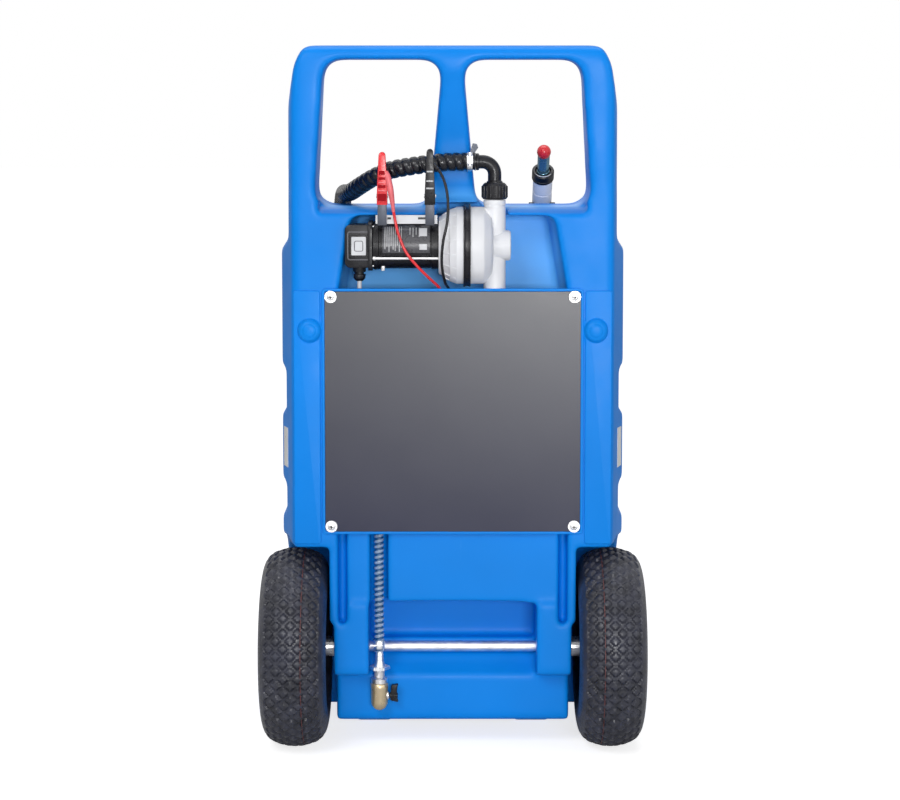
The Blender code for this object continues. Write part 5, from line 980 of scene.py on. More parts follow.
def make_cross_screw(number, x, y, z):
    """A pan-head screw on its washer, facing -Y, with a cross recess."""
    r = SCREW_RADIUS
    face = -WASHER - SCREW_HEIGHT
    profile = [
        (0.004, 0.0), (0.004, r * 0.55), (0.0, r * 0.55), (0.0, WASHER_RADIUS * 0.97),
        (-WASHER * 0.35, WASHER_RADIUS), (-WASHER, WASHER_RADIUS * 0.96), (-WASHER, r),
        (-WASHER - SCREW_HEIGHT * 0.55, r), (-WASHER - SCREW_HEIGHT * 0.85, r * 0.84), (face, r * 0.55),
        (face, 0.0),
    ]
    name = f"plate_screw_head_{number}"
    spun(name, STEEL, profile, "Y", (x, y, z), 40, nodes=(f"plate_screw_{number}",))
    recess = bmesh.new()
    front = y + face - 0.0002
    back = y + face + SCREW_HEIGHT * 0.6
    for half_w, half_h in ((r * 0.52, r * 0.15), (r * 0.15, r * 0.52)):
        block((x - half_w, front, z - half_h), (x + half_w, back, z + half_h), recess)
    piece(f"{name}_recess", recess, BLACK)


def make_cover():
    dress("cover_plate", SHEET, 0.0007, 3)
    y = span("cover_plate")[0].y - GAP
    for number in range(1, 5):
        centre = middle(f"plate_screw_{number}")
        make_cross_screw(number, centre.x, y, centre.z)


make_cover()


# Pump

_, PUMP_Y, PUMP_Z = middle("pump_motor")
PUMP_CENTRE = (0.0, PUMP_Y, PUMP_Z)
RULE_STEP = 0.0030
RULE_WIDTH = 0.0011
NUT_RADIUS = 0.0032
FLANGE_HALF_Z = 0.0360
FLANGE_THICK = 0.0070
ROCKER_TILT = math.radians(-6.0)
ROCKER_HALF_Z = 0.0138
COLUMN_X = 0.0618
COLUMN_RADIUS = 0.0164
COVER_RADIUS = 0.057
ELBOW_RADIUS = 0.0100
ELBOW_BEND = 0.018
PUMP_CABLE_ROUTE = [
    (-0.1378, -0.0450, 0.7095), (-0.1378, -0.0450, 0.6980), (-0.1350, -0.0440, 0.6820),
    (-0.1310, -0.0400, 0.6600), (-0.1285, -0.0280, 0.6300), (-0.1280, -0.0120, 0.6000),
    (-0.1280, -0.0040, 0.5750), (-0.1280, -0.0040, 0.5515),
]


def make_motor():
    low, high = span("pump_motor")
    radius = (high.z - low.z) / 2
    left, right = low.x, high.x
    profile = [
        (left, radius - 0.004), (left, radius - 0.0006), (left + 0.0006, radius),
        (left + 0.0080, radius), (left + 0.0088, radius - 0.0012), (right - 0.0110, radius - 0.0012),
        (right - 0.0100, radius), (right - 0.0006, radius), (right, radius - 0.0006),
        (right, 0.0045), (right - 0.004, 0.0045), (right - 0.004, radius - 0.004),
    ]
    spun("motor_housing", BLACK, profile, "X", PUMP_CENTRE, 96, closed=True, nodes=("pump_motor",))
    make_rating_plate(radius - 0.0012, left, right)
    dress("pump_rotor", STEEL, 0.0)
    for rod in ("tie_rod_front", "tie_rod_rear"):
        dress(rod, ZINC, 0.0)
        make_rod_nut(rod)
    make_fins(radius, left)


def curved_plate(radius, x_low, x_high, from_angle, to_angle, proud, steps, into=None):
    """A thin plate wrapped on the motor; angles are in degrees up from its middle at the operator."""
    bm = into or bmesh.new()
    rows = []
    under = radius - 0.0008
    over = radius + proud
    for step in range(steps + 1):
        angle = math.radians(from_angle + (to_angle - from_angle) * step / steps)
        rows.append(
            [
                bm.verts.new((x, PUMP_Y - r * math.cos(angle), PUMP_Z + r * math.sin(angle)))
                for r, x in ((under, x_low), (over, x_low), (over, x_high), (under, x_high))
            ]
        )
    for near, far in zip(rows, rows[1:]):
        join_rings(bm, near, far)
    bm.faces.new(rows[0][::-1])
    bm.faces.new(rows[-1])
    return bm


def make_rating_plate(skin, left, right):
    """The motor's rating plate without any words: ruled lines of unlike length and two blank fields."""
    piece("rating_plate", curved_plate(skin, left + 0.014, right - 0.0125, -16, 62, 0.0006, 14), LABEL_DARK)
    rules = bmesh.new()
    for i in range(9):
        x = left + 0.0172 + RULE_STEP * i
        foot = max(-6.0 + 9.0 * math.sin(2.4 * i), -13.0)
        curved_plate(skin, x, x + RULE_WIDTH, foot, 55.0, 0.0008, 10, rules)
    for i in range(4):
        x = right - 0.0420 + RULE_STEP * 1.5 * i
        curved_plate(skin, x, x + RULE_WIDTH, 30.0 - 6.0 * (i % 2), 52.0, 0.0008, 6, rules)
    piece("rating_plate_rules", rules, RULE_AND_NOTCH_HIGHLIGHT_GREY)
    fields = bmesh.new()
    for foot, top, steps in ((26, 50, 8), (-8, 6, 6)):
        curved_plate(skin, right - 0.0275, right - 0.0165, foot, top, 0.0008, steps, fields)
    piece("rating_plate_fields", fields, LIGHT_GREY)


def make_rod_nut(rod):
    x = span(rod)[0].x
    centre = middle(rod)
    turns = [math.radians(60 * i) for i in range(6)]
    hexagon = [(centre.y + NUT_RADIUS * math.cos(t), centre.z + NUT_RADIUS * math.sin(t)) for t in turns]
    piece(f"{rod}_nut", prism(hexagon, "X", x + 0.0006, x + 0.0040), STEEL, bevel=0.0004)


def make_fins(radius, left):
    """Short cooling ribs round the motor beside its end cap."""
    bm = bmesh.new()
    for i in range(5):
        x = left + 0.0020 + 0.0024 * i
        end = x + 0.0011
        rib = [(x, radius - 0.003), (x, radius + 0.0010), (end, radius + 0.0010), (end, radius - 0.003)]
        turned(rib, "X", PUMP_CENTRE, 72, closed=True, into=bm)
    piece("motor_ribs", bm, BLACK)


def make_switch_box():
    """The end cap with the switch's two bezels, the flange with its screws, and the earth screw."""
    low, high = span("switch_box")
    rocker_low, rocker_high = span("rocker_switch")
    rocker = (rocker_low + rocker_high) / 2
    front = PUMP_Y - 0.031
    round_box(
        "switch_housing", BLACK, (low.x, front + 0.003, low.z), (high.x - 0.0005, high.y - 0.012, high.z),
        "Y", 0.009, 6, nodes=("switch_box",), bevel=0.0015,
    )
    half_w = (rocker_high.x - rocker_low.x) / 2
    half_h = ROCKER_HALF_Z + 0.0014
    for name, colour, reach, depth, wall in (
        ("outer", BEZEL_GREY, 0.0062, 0.0022, 0.0022), ("inner", BLACK, 0.0022, 0.0, 0.0018)
    ):
        ring = frame_ring(
            rocker.x, rocker.z, half_w + reach, half_h + reach, wall, front + depth, front + 0.0045, 0.0045
        )
        piece(f"switch_bezel_{name}", ring, colour, bevel=0.0005)
    left = high.x - FLANGE_THICK
    round_box(
        "switch_flange", BLACK, (left, PUMP_Y - 0.033, PUMP_Z - FLANGE_HALF_Z),
        (high.x - GAP, PUMP_Y + 0.033, PUMP_Z + FLANGE_HALF_Z), "X", 0.012, bevel=0.0008,
    )
    screw = [
        (0.0085, 0.0), (0.0085, 0.0012), (0.0, 0.0012), (0.0, 0.0027), (-0.0040, 0.0027),
        (-0.0046, 0.0021), (-0.0046, 0.0),
    ]
    for z, name in ((0.0290, "upper"), (-0.0290, "lower")):
        spun(f"flange_screw_{name}", STEEL, screw, "X", (left, PUMP_Y - 0.0235, PUMP_Z + z), 24)
    earth = [(0.003, 0.0), (0.003, 0.0032), (-0.0035, 0.0032), (-0.0042, 0.0026), (-0.0042, 0.0)]
    place = (high.x + 0.0150, PUMP_Y - 0.0245, PUMP_Z - 0.0320)
    spun("earth_screw", STEEL, earth, "Z", place, 6, bevel=0.0003)


def make_rocker():
    """The rocker, pressed at its top, with a blank ring where a sign would be."""
    low, high = span("rocker_switch")
    pivot, _ = joint_place("rocker_switch_tilt")
    half_w = (high.x - low.x) / 2 - 0.0002
    half_h = ROCKER_HALF_Z
    outline = []
    for step in range(13):
        share = -1 + 2 * step / 12
        outline.append((-0.0035 - 0.0022 * share * share, half_h * share))
    outline += [(0.0035, half_h * 0.45), (0.0035, -half_h * 0.45)]
    cap = prism(outline, "X", -half_w, half_w)
    mark = frame_ring(0.0, 0.0, half_w * 0.62, half_h * 0.58, 0.0011, -0.0044, -0.0030, 0.0030)
    turn = Matrix.Translation(pivot) @ Matrix.Rotation(ROCKER_TILT, 4, "X")
    for bm in (cap, mark):
        bmesh.ops.transform(bm, matrix=turn, verts=bm.verts)
    piece("rocker_cap", cap, LIGHT_GREY, "rocker", ("rocker_switch",), bevel=0.0010)
    piece("rocker_mark", mark, BEZEL_GREY, "rocker", bevel=0.0003, segments=1, slot="grey_plastic")


def make_gland():
    centre = middle("cable_gland")
    top = span("cable_gland")[1].z

    def ribbed(angle, along, radius):
        if -0.0165 < along < -0.0105:
            return radius * (1.0 - 0.05 * max(0.0, math.cos(14 * angle)))
        return radius

    profile = [
        (-0.0205, 0.0), (-0.0205, 0.0046), (-0.0200, 0.0056), (-0.0178, 0.0076), (-0.0160, 0.0088),
        (-0.0110, 0.0090), (-0.0102, 0.0084), (-0.0100, 0.0068), (-0.0072, 0.0068),
        (-0.0070, 0.0090), (-0.0062, 0.0095), (0.0, 0.0095), (0.0, 0.0),
    ]
    place = (centre.x, centre.y, top)
    spun("cable_gland_nut", BLACK, profile, "Z", place, 56, wave=ribbed, nodes=("cable_gland",))


def make_pump_cable():
    line = smooth_route(PUMP_CABLE_ROUTE, CORD_STEP)
    tube("pump_cable_sheath", LIGHT_GREY, line, CABLE_RADIUS, 14, nodes=("pump_cable",))


def make_pump_head():
    """The head's motor side: a stepped shell with radial ribs."""
    low, high = span("pump_head_front")
    start = low.x
    flange = high.x
    radius = (high.z - low.z) / 2
    profile = [
        (start, 0.0045), (start, 0.0400), (start + 0.0006, 0.0428), (start + 0.0045, 0.0440),
        (start + 0.0060, 0.0458), (start + 0.0135, 0.0498), (start + 0.0155, 0.0512),
        (start + 0.0170, 0.0534), (start + 0.0250, radius - 0.0012), (start + 0.0265, radius),
        (flange - 0.0028, radius), (flange - 0.0022, radius - 0.0012), (flange, radius - 0.0012),
        (flange, 0.0420), (flange - 0.012, 0.0340), (flange - 0.014, 0.0045),
    ]
    spun("pump_head_shell", WHITE, profile, "X", PUMP_CENTRE, 112, closed=True, nodes=("pump_head_front",))
    make_head_ribs(start + 0.0052, start + 0.0262, 0.0448, radius - 0.0004)
    dress("diaphragm", RUBBER, 0.0)


def make_head_ribs(x_low, x_high, r_low, r_high, count=16, width=0.0016):
    """Radial ribs that stiffen the head: thin wedges from a small to a large radius."""
    shape = [
        (x_low, r_low - 0.004), (x_low, r_low + 0.0012), (x_low + (x_high - x_low) * 0.35, r_low + 0.0062),
        (x_high - 0.001, r_high), (x_high, r_high - 0.0012), (x_high, r_high - 0.008),
    ]
    bm = bmesh.new()
    for i in range(count):
        angle = 2 * math.pi * (i + 0.5) / count
        out = Vector((0.0, math.sin(angle), math.cos(angle)))
        side = Vector((0.0, math.cos(angle), -math.sin(angle))) * width / 2
        spots = [Vector((x, PUMP_Y, PUMP_Z)) + out * r for x, r in shape]
        slab([spot - side for spot in spots], [spot + side for spot in spots], bm)
    piece("pump_head_ribs", bm, WHITE, bevel=0.0004, segments=1)


def make_pump_cover():
    """The head's outer side: the cover, the port column, the side boss, two webs and the bolts."""
    low, high = span("pump_head_cover")
    start = low.x
    rim = COVER_RADIUS
    cover = [
        (start + 0.013, 0.0), (start + 0.012, 0.0360), (start, 0.0420), (start, rim - 0.0012),
        (start + 0.0022, rim - 0.0012), (start + 0.0028, rim), (start + 0.0215, rim),
        (start + 0.0235, rim - 0.0008), (start + 0.0250, rim - 0.0028), (0.0545, 0.0475),
        (0.0575, 0.0440), (0.0592, 0.0330), (0.0600, 0.0280), (0.0600, 0.0),
    ]
    spun("pump_cover_shell", WHITE, cover, "X", PUMP_CENTRE, 112, nodes=("pump_head_cover",))
    r = COLUMN_RADIUS
    column = [
        (low.z, 0.0096), (low.z, r - 0.001), (low.z + 0.001, r), (high.z - 0.012, r),
        (high.z - 0.0115, r - 0.0008), (high.z - 0.0075, r - 0.0008), (high.z - 0.007, r),
        (high.z - 0.001, r), (high.z, r - 0.001), (high.z, 0.0096),
    ]
    spun("pump_port_column", WHITE, column, "Z", (COLUMN_X, PUMP_Y, 0.0), 64, closed=True)
    end = high.x
    boss = [
        (0.052, 0.0), (0.052, 0.0225), (end - 0.0035, 0.0225), (end - 0.0010, 0.0214), (end, 0.0190),
        (end, 0.0120), (end - 0.0012, 0.0110), (end - 0.0012, 0.0),
    ]
    spun("pump_side_boss", WHITE, boss, "X", PUMP_CENTRE, 72)
    for z_low, z_high, name in ((0.020, rim - 0.0006, "upper"), (-rim + 0.0040, -0.020, "lower")):
        round_box(
            f"pump_cover_web_{name}", WHITE, (start + 0.018, PUMP_Y - 0.0150, PUMP_Z + z_low),
            (COLUMN_X + 0.004, PUMP_Y + 0.0150, PUMP_Z + z_high), "X", 0.0075, bevel=0.0016, segments=3,
        )
    stud = [(-0.004, 0.0), (-0.004, 0.0042), (0.0, 0.0042), (0.0008, 0.0036), (0.0008, 0.0)]
    for i in range(8):
        angle = 2 * math.pi * (i + 0.5) / 8
        y = PUMP_Y - 0.0485 * math.cos(angle)
        z = PUMP_Z + 0.0485 * math.sin(angle)
        spun(f"cover_stud_{i + 1}", WHITE, stud, "X", (start + 0.0262, y, z), 20)


def make_band():
    """The black clamp band: two raised edges, a hollow between them and the bolt behind."""
    low, high = span("clamp_band")
    outer = (high.z - low.z) / 2
    inner = outer - 0.0039
    band = [
        (low.x, inner), (low.x, outer - 0.0004), (low.x + 0.0006, outer), (low.x + 0.0020, outer),
        (low.x + 0.0030, outer - 0.0010), (high.x - 0.0030, outer - 0.0010), (high.x - 0.0020, outer),
        (high.x - 0.0006, outer), (high.x, outer - 0.0004), (high.x, inner),
    ]
    spun("head_clamp_band", BLACK, band, "X", PUMP_CENTRE, 128, closed=True, nodes=("clamp_band",))
    lug_y = PUMP_Y + outer
    round_box(
        "head_clamp_lug", BLACK, (low.x, lug_y - 0.003, PUMP_Z - 0.0070), (high.x, high.y, PUMP_Z + 0.0070),
        "X", 0.002, bevel=0.0006,
    )
    bolt = [
        (-0.0105, 0.0), (-0.0105, 0.0020), (0.0075, 0.0020), (0.0075, 0.0038), (0.0105, 0.0038), (0.0105, 0.0)
    ]
    spun("head_clamp_bolt", STEEL, bolt, "Z", ((low.x + high.x) / 2, lug_y + 0.0030, PUMP_Z), 24)


def make_union_nut():
    low, high = span("union_nut")
    centre = (low + high) / 2
    radius = (high.x - low.x) / 2
    height = high.z - low.z

    def ribbed(angle, along, r):
        if 0.002 < along < height - 0.005 and r > radius * 0.9:
            flank = max(0.0, math.cos(18 * angle))
            return r - 0.0013 * (1.0 - flank) ** 2
        return r

    profile = [
        (0.0, 0.0096), (0.0, radius - 0.0026), (0.0012, radius - 0.0016), (0.0020, radius - 0.0014),
        (0.0026, radius), (height * 0.5, radius), (height - 0.0052, radius),
        (height - 0.0046, radius - 0.0014), (height - 0.0020, radius - 0.0030),
        (height, radius - 0.0056), (height, 0.0103), (0.008, 0.0103), (0.008, 0.0096),
    ]
    spun(
        "union_nut_ribbed", BLACK, profile, "Z", (centre.x, centre.y, low.z), 216, closed=True, wave=ribbed,
        nodes=("union_nut",),
    )


def make_elbow():
    x, _, z = HOSE_LEAD_ROUTE[0]
    line = [(COLUMN_X, PUMP_Y, span("outlet_elbow")[0].z), (COLUMN_X, PUMP_Y, z - ELBOW_BEND - 0.004)]
    for step in range(13):
        angle = math.pi / 2 * step / 12
        back = ELBOW_BEND * (1 - math.cos(angle))
        line.append((COLUMN_X - back, PUMP_Y, z - ELBOW_BEND + ELBOW_BEND * math.sin(angle)))
    line.append((x + 0.0045, PUMP_Y, z))
    tube("outlet_elbow_pipe", BLACK, line, ELBOW_RADIUS, 40, nodes=("outlet_elbow",))
    collar = [
        (-0.018, 0.0), (-0.018, 0.0070), (GAP, 0.0078), (GAP, 0.0118), (0.0012, 0.0125),
        (0.0042, 0.0125), (0.0053, 0.0112), (0.0053, 0.0),
    ]
    spun("outlet_elbow_collar", BLACK, collar, "X", HOSE_LEAD_ROUTE[0])
    bead = [(0.0, 0.0), (0.0, 0.0100), (0.0, 0.0118), (0.0022, 0.0118), (0.0036, 0.0100), (0.0036, 0.0)]
    spun("outlet_elbow_bead", BLACK, bead, "Z", (COLUMN_X, PUMP_Y, span("union_nut")[1].z - 0.0006))


def make_hose_clip():
    """A worm-drive clip on the hose beside the elbow, its strap's free end standing up."""
    x, y, z = HOSE_LEAD_ROUTE[0]
    centre_x = x - 0.0085
    half = 0.0038
    r = HOSE_RADIUS + 0.0002
    band = [(-half, r), (-half, r + 0.0007), (half, r + 0.0007), (half, r)]
    spun("hose_clip_band", STEEL, band, "X", (centre_x, y, z), 64, closed=True)
    round_box(
        "hose_clip_housing", STEEL, (centre_x - half - 0.0008, y - r - 0.0058, z - 0.0035),
        (centre_x + half + 0.0008, y - r + 0.0005, z + 0.0095), "X", 0.0018, bevel=0.0006,
    )
    screw = [
        (-0.0055, 0.0), (-0.0055, 0.0026), (0.0105, 0.0026), (0.0105, 0.0036), (0.0135, 0.0036), (0.0140, 0.0)
    ]
    spun("hose_clip_screw", STEEL, screw, "Z", (centre_x, y - r - 0.0030, z), 20)
    tail = [
        (centre_x - half * 0.4, z + r * 0.6), (centre_x + half, z + r * 0.6), (x + 0.0040, z + 0.0205),
        (x + 0.0020, z + 0.0262), (x - 0.0042, z + 0.0272),
    ]
    strap_y = y + r * 0.62
    piece("hose_clip_tail", prism(tail, "Y", strap_y, strap_y + 0.0008), DULL_STEEL, slot="bright_steel")


def make_pump():
    make_motor()
    make_switch_box()
    make_rocker()
    make_gland()
    make_pump_cable()
    make_pump_head()
    make_pump_cover()
    make_band()
    dress("pump_foot", ZINC, 0.0008)
    make_union_nut()
    make_elbow()
    make_hose_clip()


make_pump()


# Clamp rail and battery clamps

CLAMP_WIDTH = 0.0155
CLAMP_NARROW = 0.60
CLAMP_TIP = 0.0045
BLACK_TIP_RISE = 0.0045
JAW_BOTTOM = -0.0430
JAW_INNER = 0.0018
RAIL_SLOTS = ((-0.0958, -0.0902), (-0.0508, -0.0395))
RAIL_SLOT_Z = 0.8031
# The notches across the handles, drawn as strips of painted shade ("dark") and painted highlight ("pale"):
# their lower and upper end, and their tone
RED_NOTCH_PAINTED_SHADING = (
    (0.8669, 0.8728, "dark"), (0.8596, 0.8634, "dark"), (0.8550, 0.8568, "pale"), (0.8478, 0.8522, "dark"),
    (0.8432, 0.8450, "pale"), (0.8290, 0.8390, "dark"),
)
BLACK_NOTCH_PAINTED_HIGHLIGHTS = ((0.8705, 0.8729, "pale"), (0.8566, 0.8590, "pale"), (0.8460, 0.8484, "pale"))


def clamp_taper(up, top):
    """The share of the full width at a height over the pin: narrower upwards, with a round tip."""
    share = 1 - (1 - CLAMP_NARROW) * max(0.0, up) / top
    over = max(0.0, up - (top - CLAMP_TIP)) / CLAMP_TIP
    return share * max(0.30, math.sqrt(max(0.0, 1 - over * over)))


def clamp_strip(inner, outer, pivot, side, wide, top):
    """A closed strip between an inner and an outer line of (away from the rail, up), narrowed upwards."""
    bm = bmesh.new()
    rows = []
    for line, end in ((inner, -1), (inner, 1), (outer, 1), (outer, -1)):
        row = []
        for away, up in line:
            x = pivot.x + end * wide / 2 * clamp_taper(up, top)
            row.append(bm.verts.new((x, pivot.y + side * away, pivot.z + up)))
        rows.append(row)
    for near, far in zip(rows, rows[1:] + rows[:1]):
        for i in range(len(near) - 1):
            bm.faces.new((near[i], near[i + 1], far[i + 1], far[i]))
    for end in (0, -1):
        bm.faces.new([row[end] for row in rows])
    return bm


def make_clamp_half(prefix, pivot, side, body, node, colour, tip):
    """A handle with its notches, and the toothed plate of its jaw."""
    top = tip - pivot.z
    grip_inner = [
        (0.0014, -0.010), (0.0014, 0.002), (0.0036, 0.010), (0.0062, 0.024), (0.0070, top * 0.7),
        (0.0074, top - 0.0045), (0.0075, top - 0.0026), (0.0078, top - 0.0010), (0.0084, top),
    ]
    grip_outer = [
        (0.0072, -0.0132), (0.0090, -0.004), (0.0108, 0.008), (0.0118, 0.024), (0.0120, top * 0.7),
        (0.0117, top - 0.0055), (0.0113, top - 0.0028), (0.0107, top - 0.0011), (0.0098, top),
    ]
    grip = clamp_strip(grip_inner, grip_outer, pivot, side, CLAMP_WIDTH, top)
    piece(f"{prefix}_handle", grip, colour, body, (node,), bevel=0.0016, segments=3)
    make_painted_notch_shading(prefix, pivot, side, body, colour, top)
    bottom = JAW_BOTTOM
    inner = JAW_INNER
    jaw_inner = [
        (inner, bottom), (inner, bottom + 0.014), (0.0040, bottom + 0.022), (0.0046, -0.012),
        (0.0020, -0.004), (0.0020, 0.008),
    ]
    jaw_outer = [
        (inner + 0.0024, bottom), (inner + 0.0038, bottom + 0.012), (0.0064, bottom + 0.022),
        (0.0066, -0.012), (0.0050, -0.004), (0.0034, 0.008),
    ]
    jaw = clamp_strip(jaw_inner, jaw_outer, pivot, side, CLAMP_WIDTH - 0.0022, top)
    near, far = sorted((pivot.y + side * (inner + 0.0005), pivot.y + side * (inner - 0.0001)))
    for i in range(4):
        z = pivot.z + bottom + 0.0022 + 0.0030 * i
        block((pivot.x - 0.0060, near, z - 0.0007), (pivot.x + 0.0060, far, z + 0.0007), jaw)
    piece(f"{prefix}_jaw_plate", jaw, DULL_STEEL, body, bevel=0.0005)


def make_painted_notch_shading(prefix, pivot, side, body, colour, top):
    """The notches across a handle's outer face, shown as thin strips of painted shade and painted highlight.
    """
    red = colour == RED
    near, far = sorted((pivot.y + side * 0.0096, pivot.y + side * 0.0126))
    # The dark strips are painted shade inside the notches, the pale strips painted highlight on their edges
    for tone, shown in (("dark", NOTCH_SHADE_RED), ("pale", PALE_RED_AND_NOTCH_HIGHLIGHT if red else RULE_AND_NOTCH_HIGHLIGHT_GREY)):
        marks = [mark for mark in (RED_NOTCH_PAINTED_SHADING if red else BLACK_NOTCH_PAINTED_HIGHLIGHTS) if mark[2] == tone]
        if not marks:
            continue
        bm = bmesh.new()
        for z_low, z_high, _ in marks:
            half = (CLAMP_WIDTH * clamp_taper((z_low + z_high) / 2 - pivot.z, top) - 0.0034) / 2
            block((pivot.x - half, near, z_low), (pivot.x + half, far, z_high), bm)
        slot = SLOT_OF[colour.name]
        piece(f"{prefix}_{tone}_marks", bm, shown, body, bevel=0.0004, slot=slot)


def make_spring(name, pivot, radius=0.0036, wire_radius=0.0006, turns=6, width=0.0100, steps=20):
    line = []
    for i in range(turns * steps + 1):
        angle = 2 * math.pi * i / steps
        x = -width / 2 + width * i / (turns * steps)
        line.append(tuple(pivot + Vector((x, radius * math.cos(angle), radius * math.sin(angle)))))
    tube(name, STEEL, line, wire_radius, 8, smooth_angle=EDGE_ANGLE)


def make_clamp(colour_name, colour):
    pivot, _ = joint_place(f"{colour_name}_clamp_open")
    fixed = f"{colour_name}_clamp_fixed"
    tip = span(fixed)[1].z + (BLACK_TIP_RISE if colour == BLACK else 0.0)
    make_clamp_half(f"{colour_name}_front", pivot, 1, "chassis", fixed, colour, tip)
    jaw = f"{colour_name}_clamp_jaw"
    make_clamp_half(f"{colour_name}_rear", pivot, -1, f"{colour_name}_jaw", jaw, colour, tip)
    rivet = [
        (-0.0089, 0.0), (-0.0089, 0.0030), (-0.0080, 0.0034), (-0.0078, 0.0022), (0.0078, 0.0022),
        (0.0080, 0.0034), (0.0089, 0.0030), (0.0089, 0.0),
    ]
    spun(f"{colour_name}_clamp_rivet", STEEL, rivet, "X", pivot, 20)
    make_spring(f"{colour_name}_clamp_spring", pivot)


def make_red_boot():
    """The pale red boot that carries the lead out of the red clamp."""
    pivot, _ = joint_place("red_clamp_open")
    route = [
        (0.0062, -0.0080, 0.036), (0.0095, -0.0100, 0.024), (0.0130, -0.0100, 0.006),
        (0.0155, -0.0075, -0.012),
    ]
    line = smooth_route([tuple(pivot + Vector(spot)) for spot in route] + [RED_LEAD_ROUTE[0]], 0.002)
    share = np.linspace(0.0, 1.0, len(line))
    radii = np.interp(share, [0.0, 0.12, 0.45, 0.8, 0.82, 1.0], [0.55, 0.95, 1.0, 0.72, 0.60, 0.52])
    tube("red_lead_boot", PALE_RED_AND_NOTCH_HIGHLIGHT, line, 0.0047, 20, radii)


def make_black_sleeve():
    """A short sleeve where the black lead leaves its clamp."""
    start = Vector(BLACK_LEAD_ROUTE[0])
    toward = (Vector(BLACK_LEAD_ROUTE[1]) - start).normalized()
    line = [tuple(start + toward * along) for along in (-0.006, 0.0, 0.006)]
    tube("black_lead_sleeve", BLACK, line, 0.0033)


def make_rail_slots():
    """The dark slots in the rail's face."""
    face = span("clamp_rail")[0].y
    z_low = RAIL_SLOT_Z - 0.0016
    z_high = RAIL_SLOT_Z + 0.0016
    bm = bmesh.new()
    for x_low, x_high in RAIL_SLOTS:
        block((x_low, face - 0.0004, z_low), (x_high, face + 0.0010, z_high), bm)
    piece("rail_slots", bm, BLACK)


dress("clamp_rail", LIGHT_GREY)
make_rail_slots()
make_clamp("red", RED)
make_clamp("black", BLACK)
make_red_boot()
make_black_sleeve()
dress("fuse_box", BLACK, 0.0012)


# Nozzle

BARREL_LENGTH = 0.100
BARREL_RADIUS = 0.0155
GRIP_RADIUS = 0.0145
GUARD_REACH = 0.0495
COLLAR_RADIUS = 0.0175
COLLAR_LOW = -0.0117
COLLAR_HIGH = 0.0058
SPOUT_RADIUS = 0.0095
SPOUT_LENGTH = 0.052
CAP_RADIUS = 0.0110
TRIGGER_LENGTH = 0.092


def make_nozzle():
    """u is the way the spout points, down runs along the grip, and out is away from the grip."""
    u = Vector(joint_named("dust_cap_pull")["axis"]).normalized()
    collar = middle("nozzle_collar") - u * (0.015 / 2 + COLLAR_LOW)
    grip_end, down = joint_place("hose_swivel_turn")
    out = Vector((0.0, -down.z, down.y))
    barrel_end = collar - u * BARREL_LENGTH
    bottom = -BARREL_LENGTH - 0.006
    r = BARREL_RADIUS
    barrel = [
        (bottom, 0.0), (bottom, 0.0100), (bottom + 0.0020, 0.0128), (bottom + 0.0060, 0.0152),
        (bottom + 0.0100, r), (-0.0400, r), (-0.0392, r - 0.0008), (-0.0370, r - 0.0008), (-0.0362, r),
        (-0.0130, r), (-0.0125, r - 0.0010), (-0.0122, 0.0),
    ]
    spun("nozzle_barrel", NOZZLE_GREY, barrel, u, collar, 64, body="nozzle", nodes=("nozzle_body",))
    length = (grip_end - barrel_end).length
    r = GRIP_RADIUS
    grip = [
        (0.0, 0.0), (0.0, r - 0.001), (length * 0.18, r - 0.0004), (length * 0.30, r - 0.0014),
        (length * 0.55, r - 0.0016), (length * 0.80, r - 0.0008), (length - 0.0130, r - 0.0010),
        (length - 0.0115, r + 0.0010), (length - 0.0008, r + 0.0010), (length, r + 0.0002), (length, 0.0),
    ]
    spun("nozzle_grip", NOZZLE_GREY, grip, down, barrel_end, 56, body="nozzle")
    make_guard(barrel_end, down, out, length - 0.012)
    make_collar(collar, u)
    make_spout(collar, u)
    make_trigger(barrel_end + down * 0.012 + out * 0.023, down, out)
    make_swivel(grip_end, down)


def make_guard(start, down, out, end):
    """The finger guard: a flat bar round the trigger."""
    far = GUARD_REACH
    corners = [
        (0.004, GRIP_RADIUS - 0.004), (0.0045, far - 0.014), (0.0090, far - 0.003), (0.0180, far),
        (end * 0.55, far), (end - 0.034, far - 0.001), (end - 0.024, far - 0.008),
        (end - 0.004, GRIP_RADIUS - 0.003),
    ]
    line = smooth_route([tuple(start + down * along + out * away) for along, away in corners], 0.003)
    tube("nozzle_guard_bar", NOZZLE_GREY, line, 0.0025, 20, flat=2.2, body="nozzle")


def make_collar(collar, u):
    """The black collar with a painted highlight, a thin white crescent, at its top and at its foot."""
    r = COLLAR_RADIUS
    low = COLLAR_LOW
    high = COLLAR_HIGH
    profile = [
        (low, 0.0098), (low, r - 0.0014), (low + 0.0014, r), (low + 0.0050, r), (low + 0.0056, r - 0.0008),
        (low + 0.0066, r - 0.0008), (low + 0.0072, r), (high - 0.0016, r), (high, r - 0.0020),
        (high, r - 0.0045), (high - 0.0030, r - 0.0062), (high - 0.0034, 0.0098),
    ]
    spun(
        "nozzle_collar_ring", BLACK, profile, u, collar, 72, closed=True, body="nozzle",
        nodes=("nozzle_collar",),
    )
    # Painted highlights: white crescents on the collar's top and on the barrel's rim, facing the operator
    make_painted_highlight("nozzle_collar_painted_highlight", collar + u * high, u, r - 0.0032, 58.0)
    make_painted_highlight("nozzle_rim_painted_highlight", collar + u * (low - 0.0005), u, BARREL_RADIUS + 0.0002, 64.0)


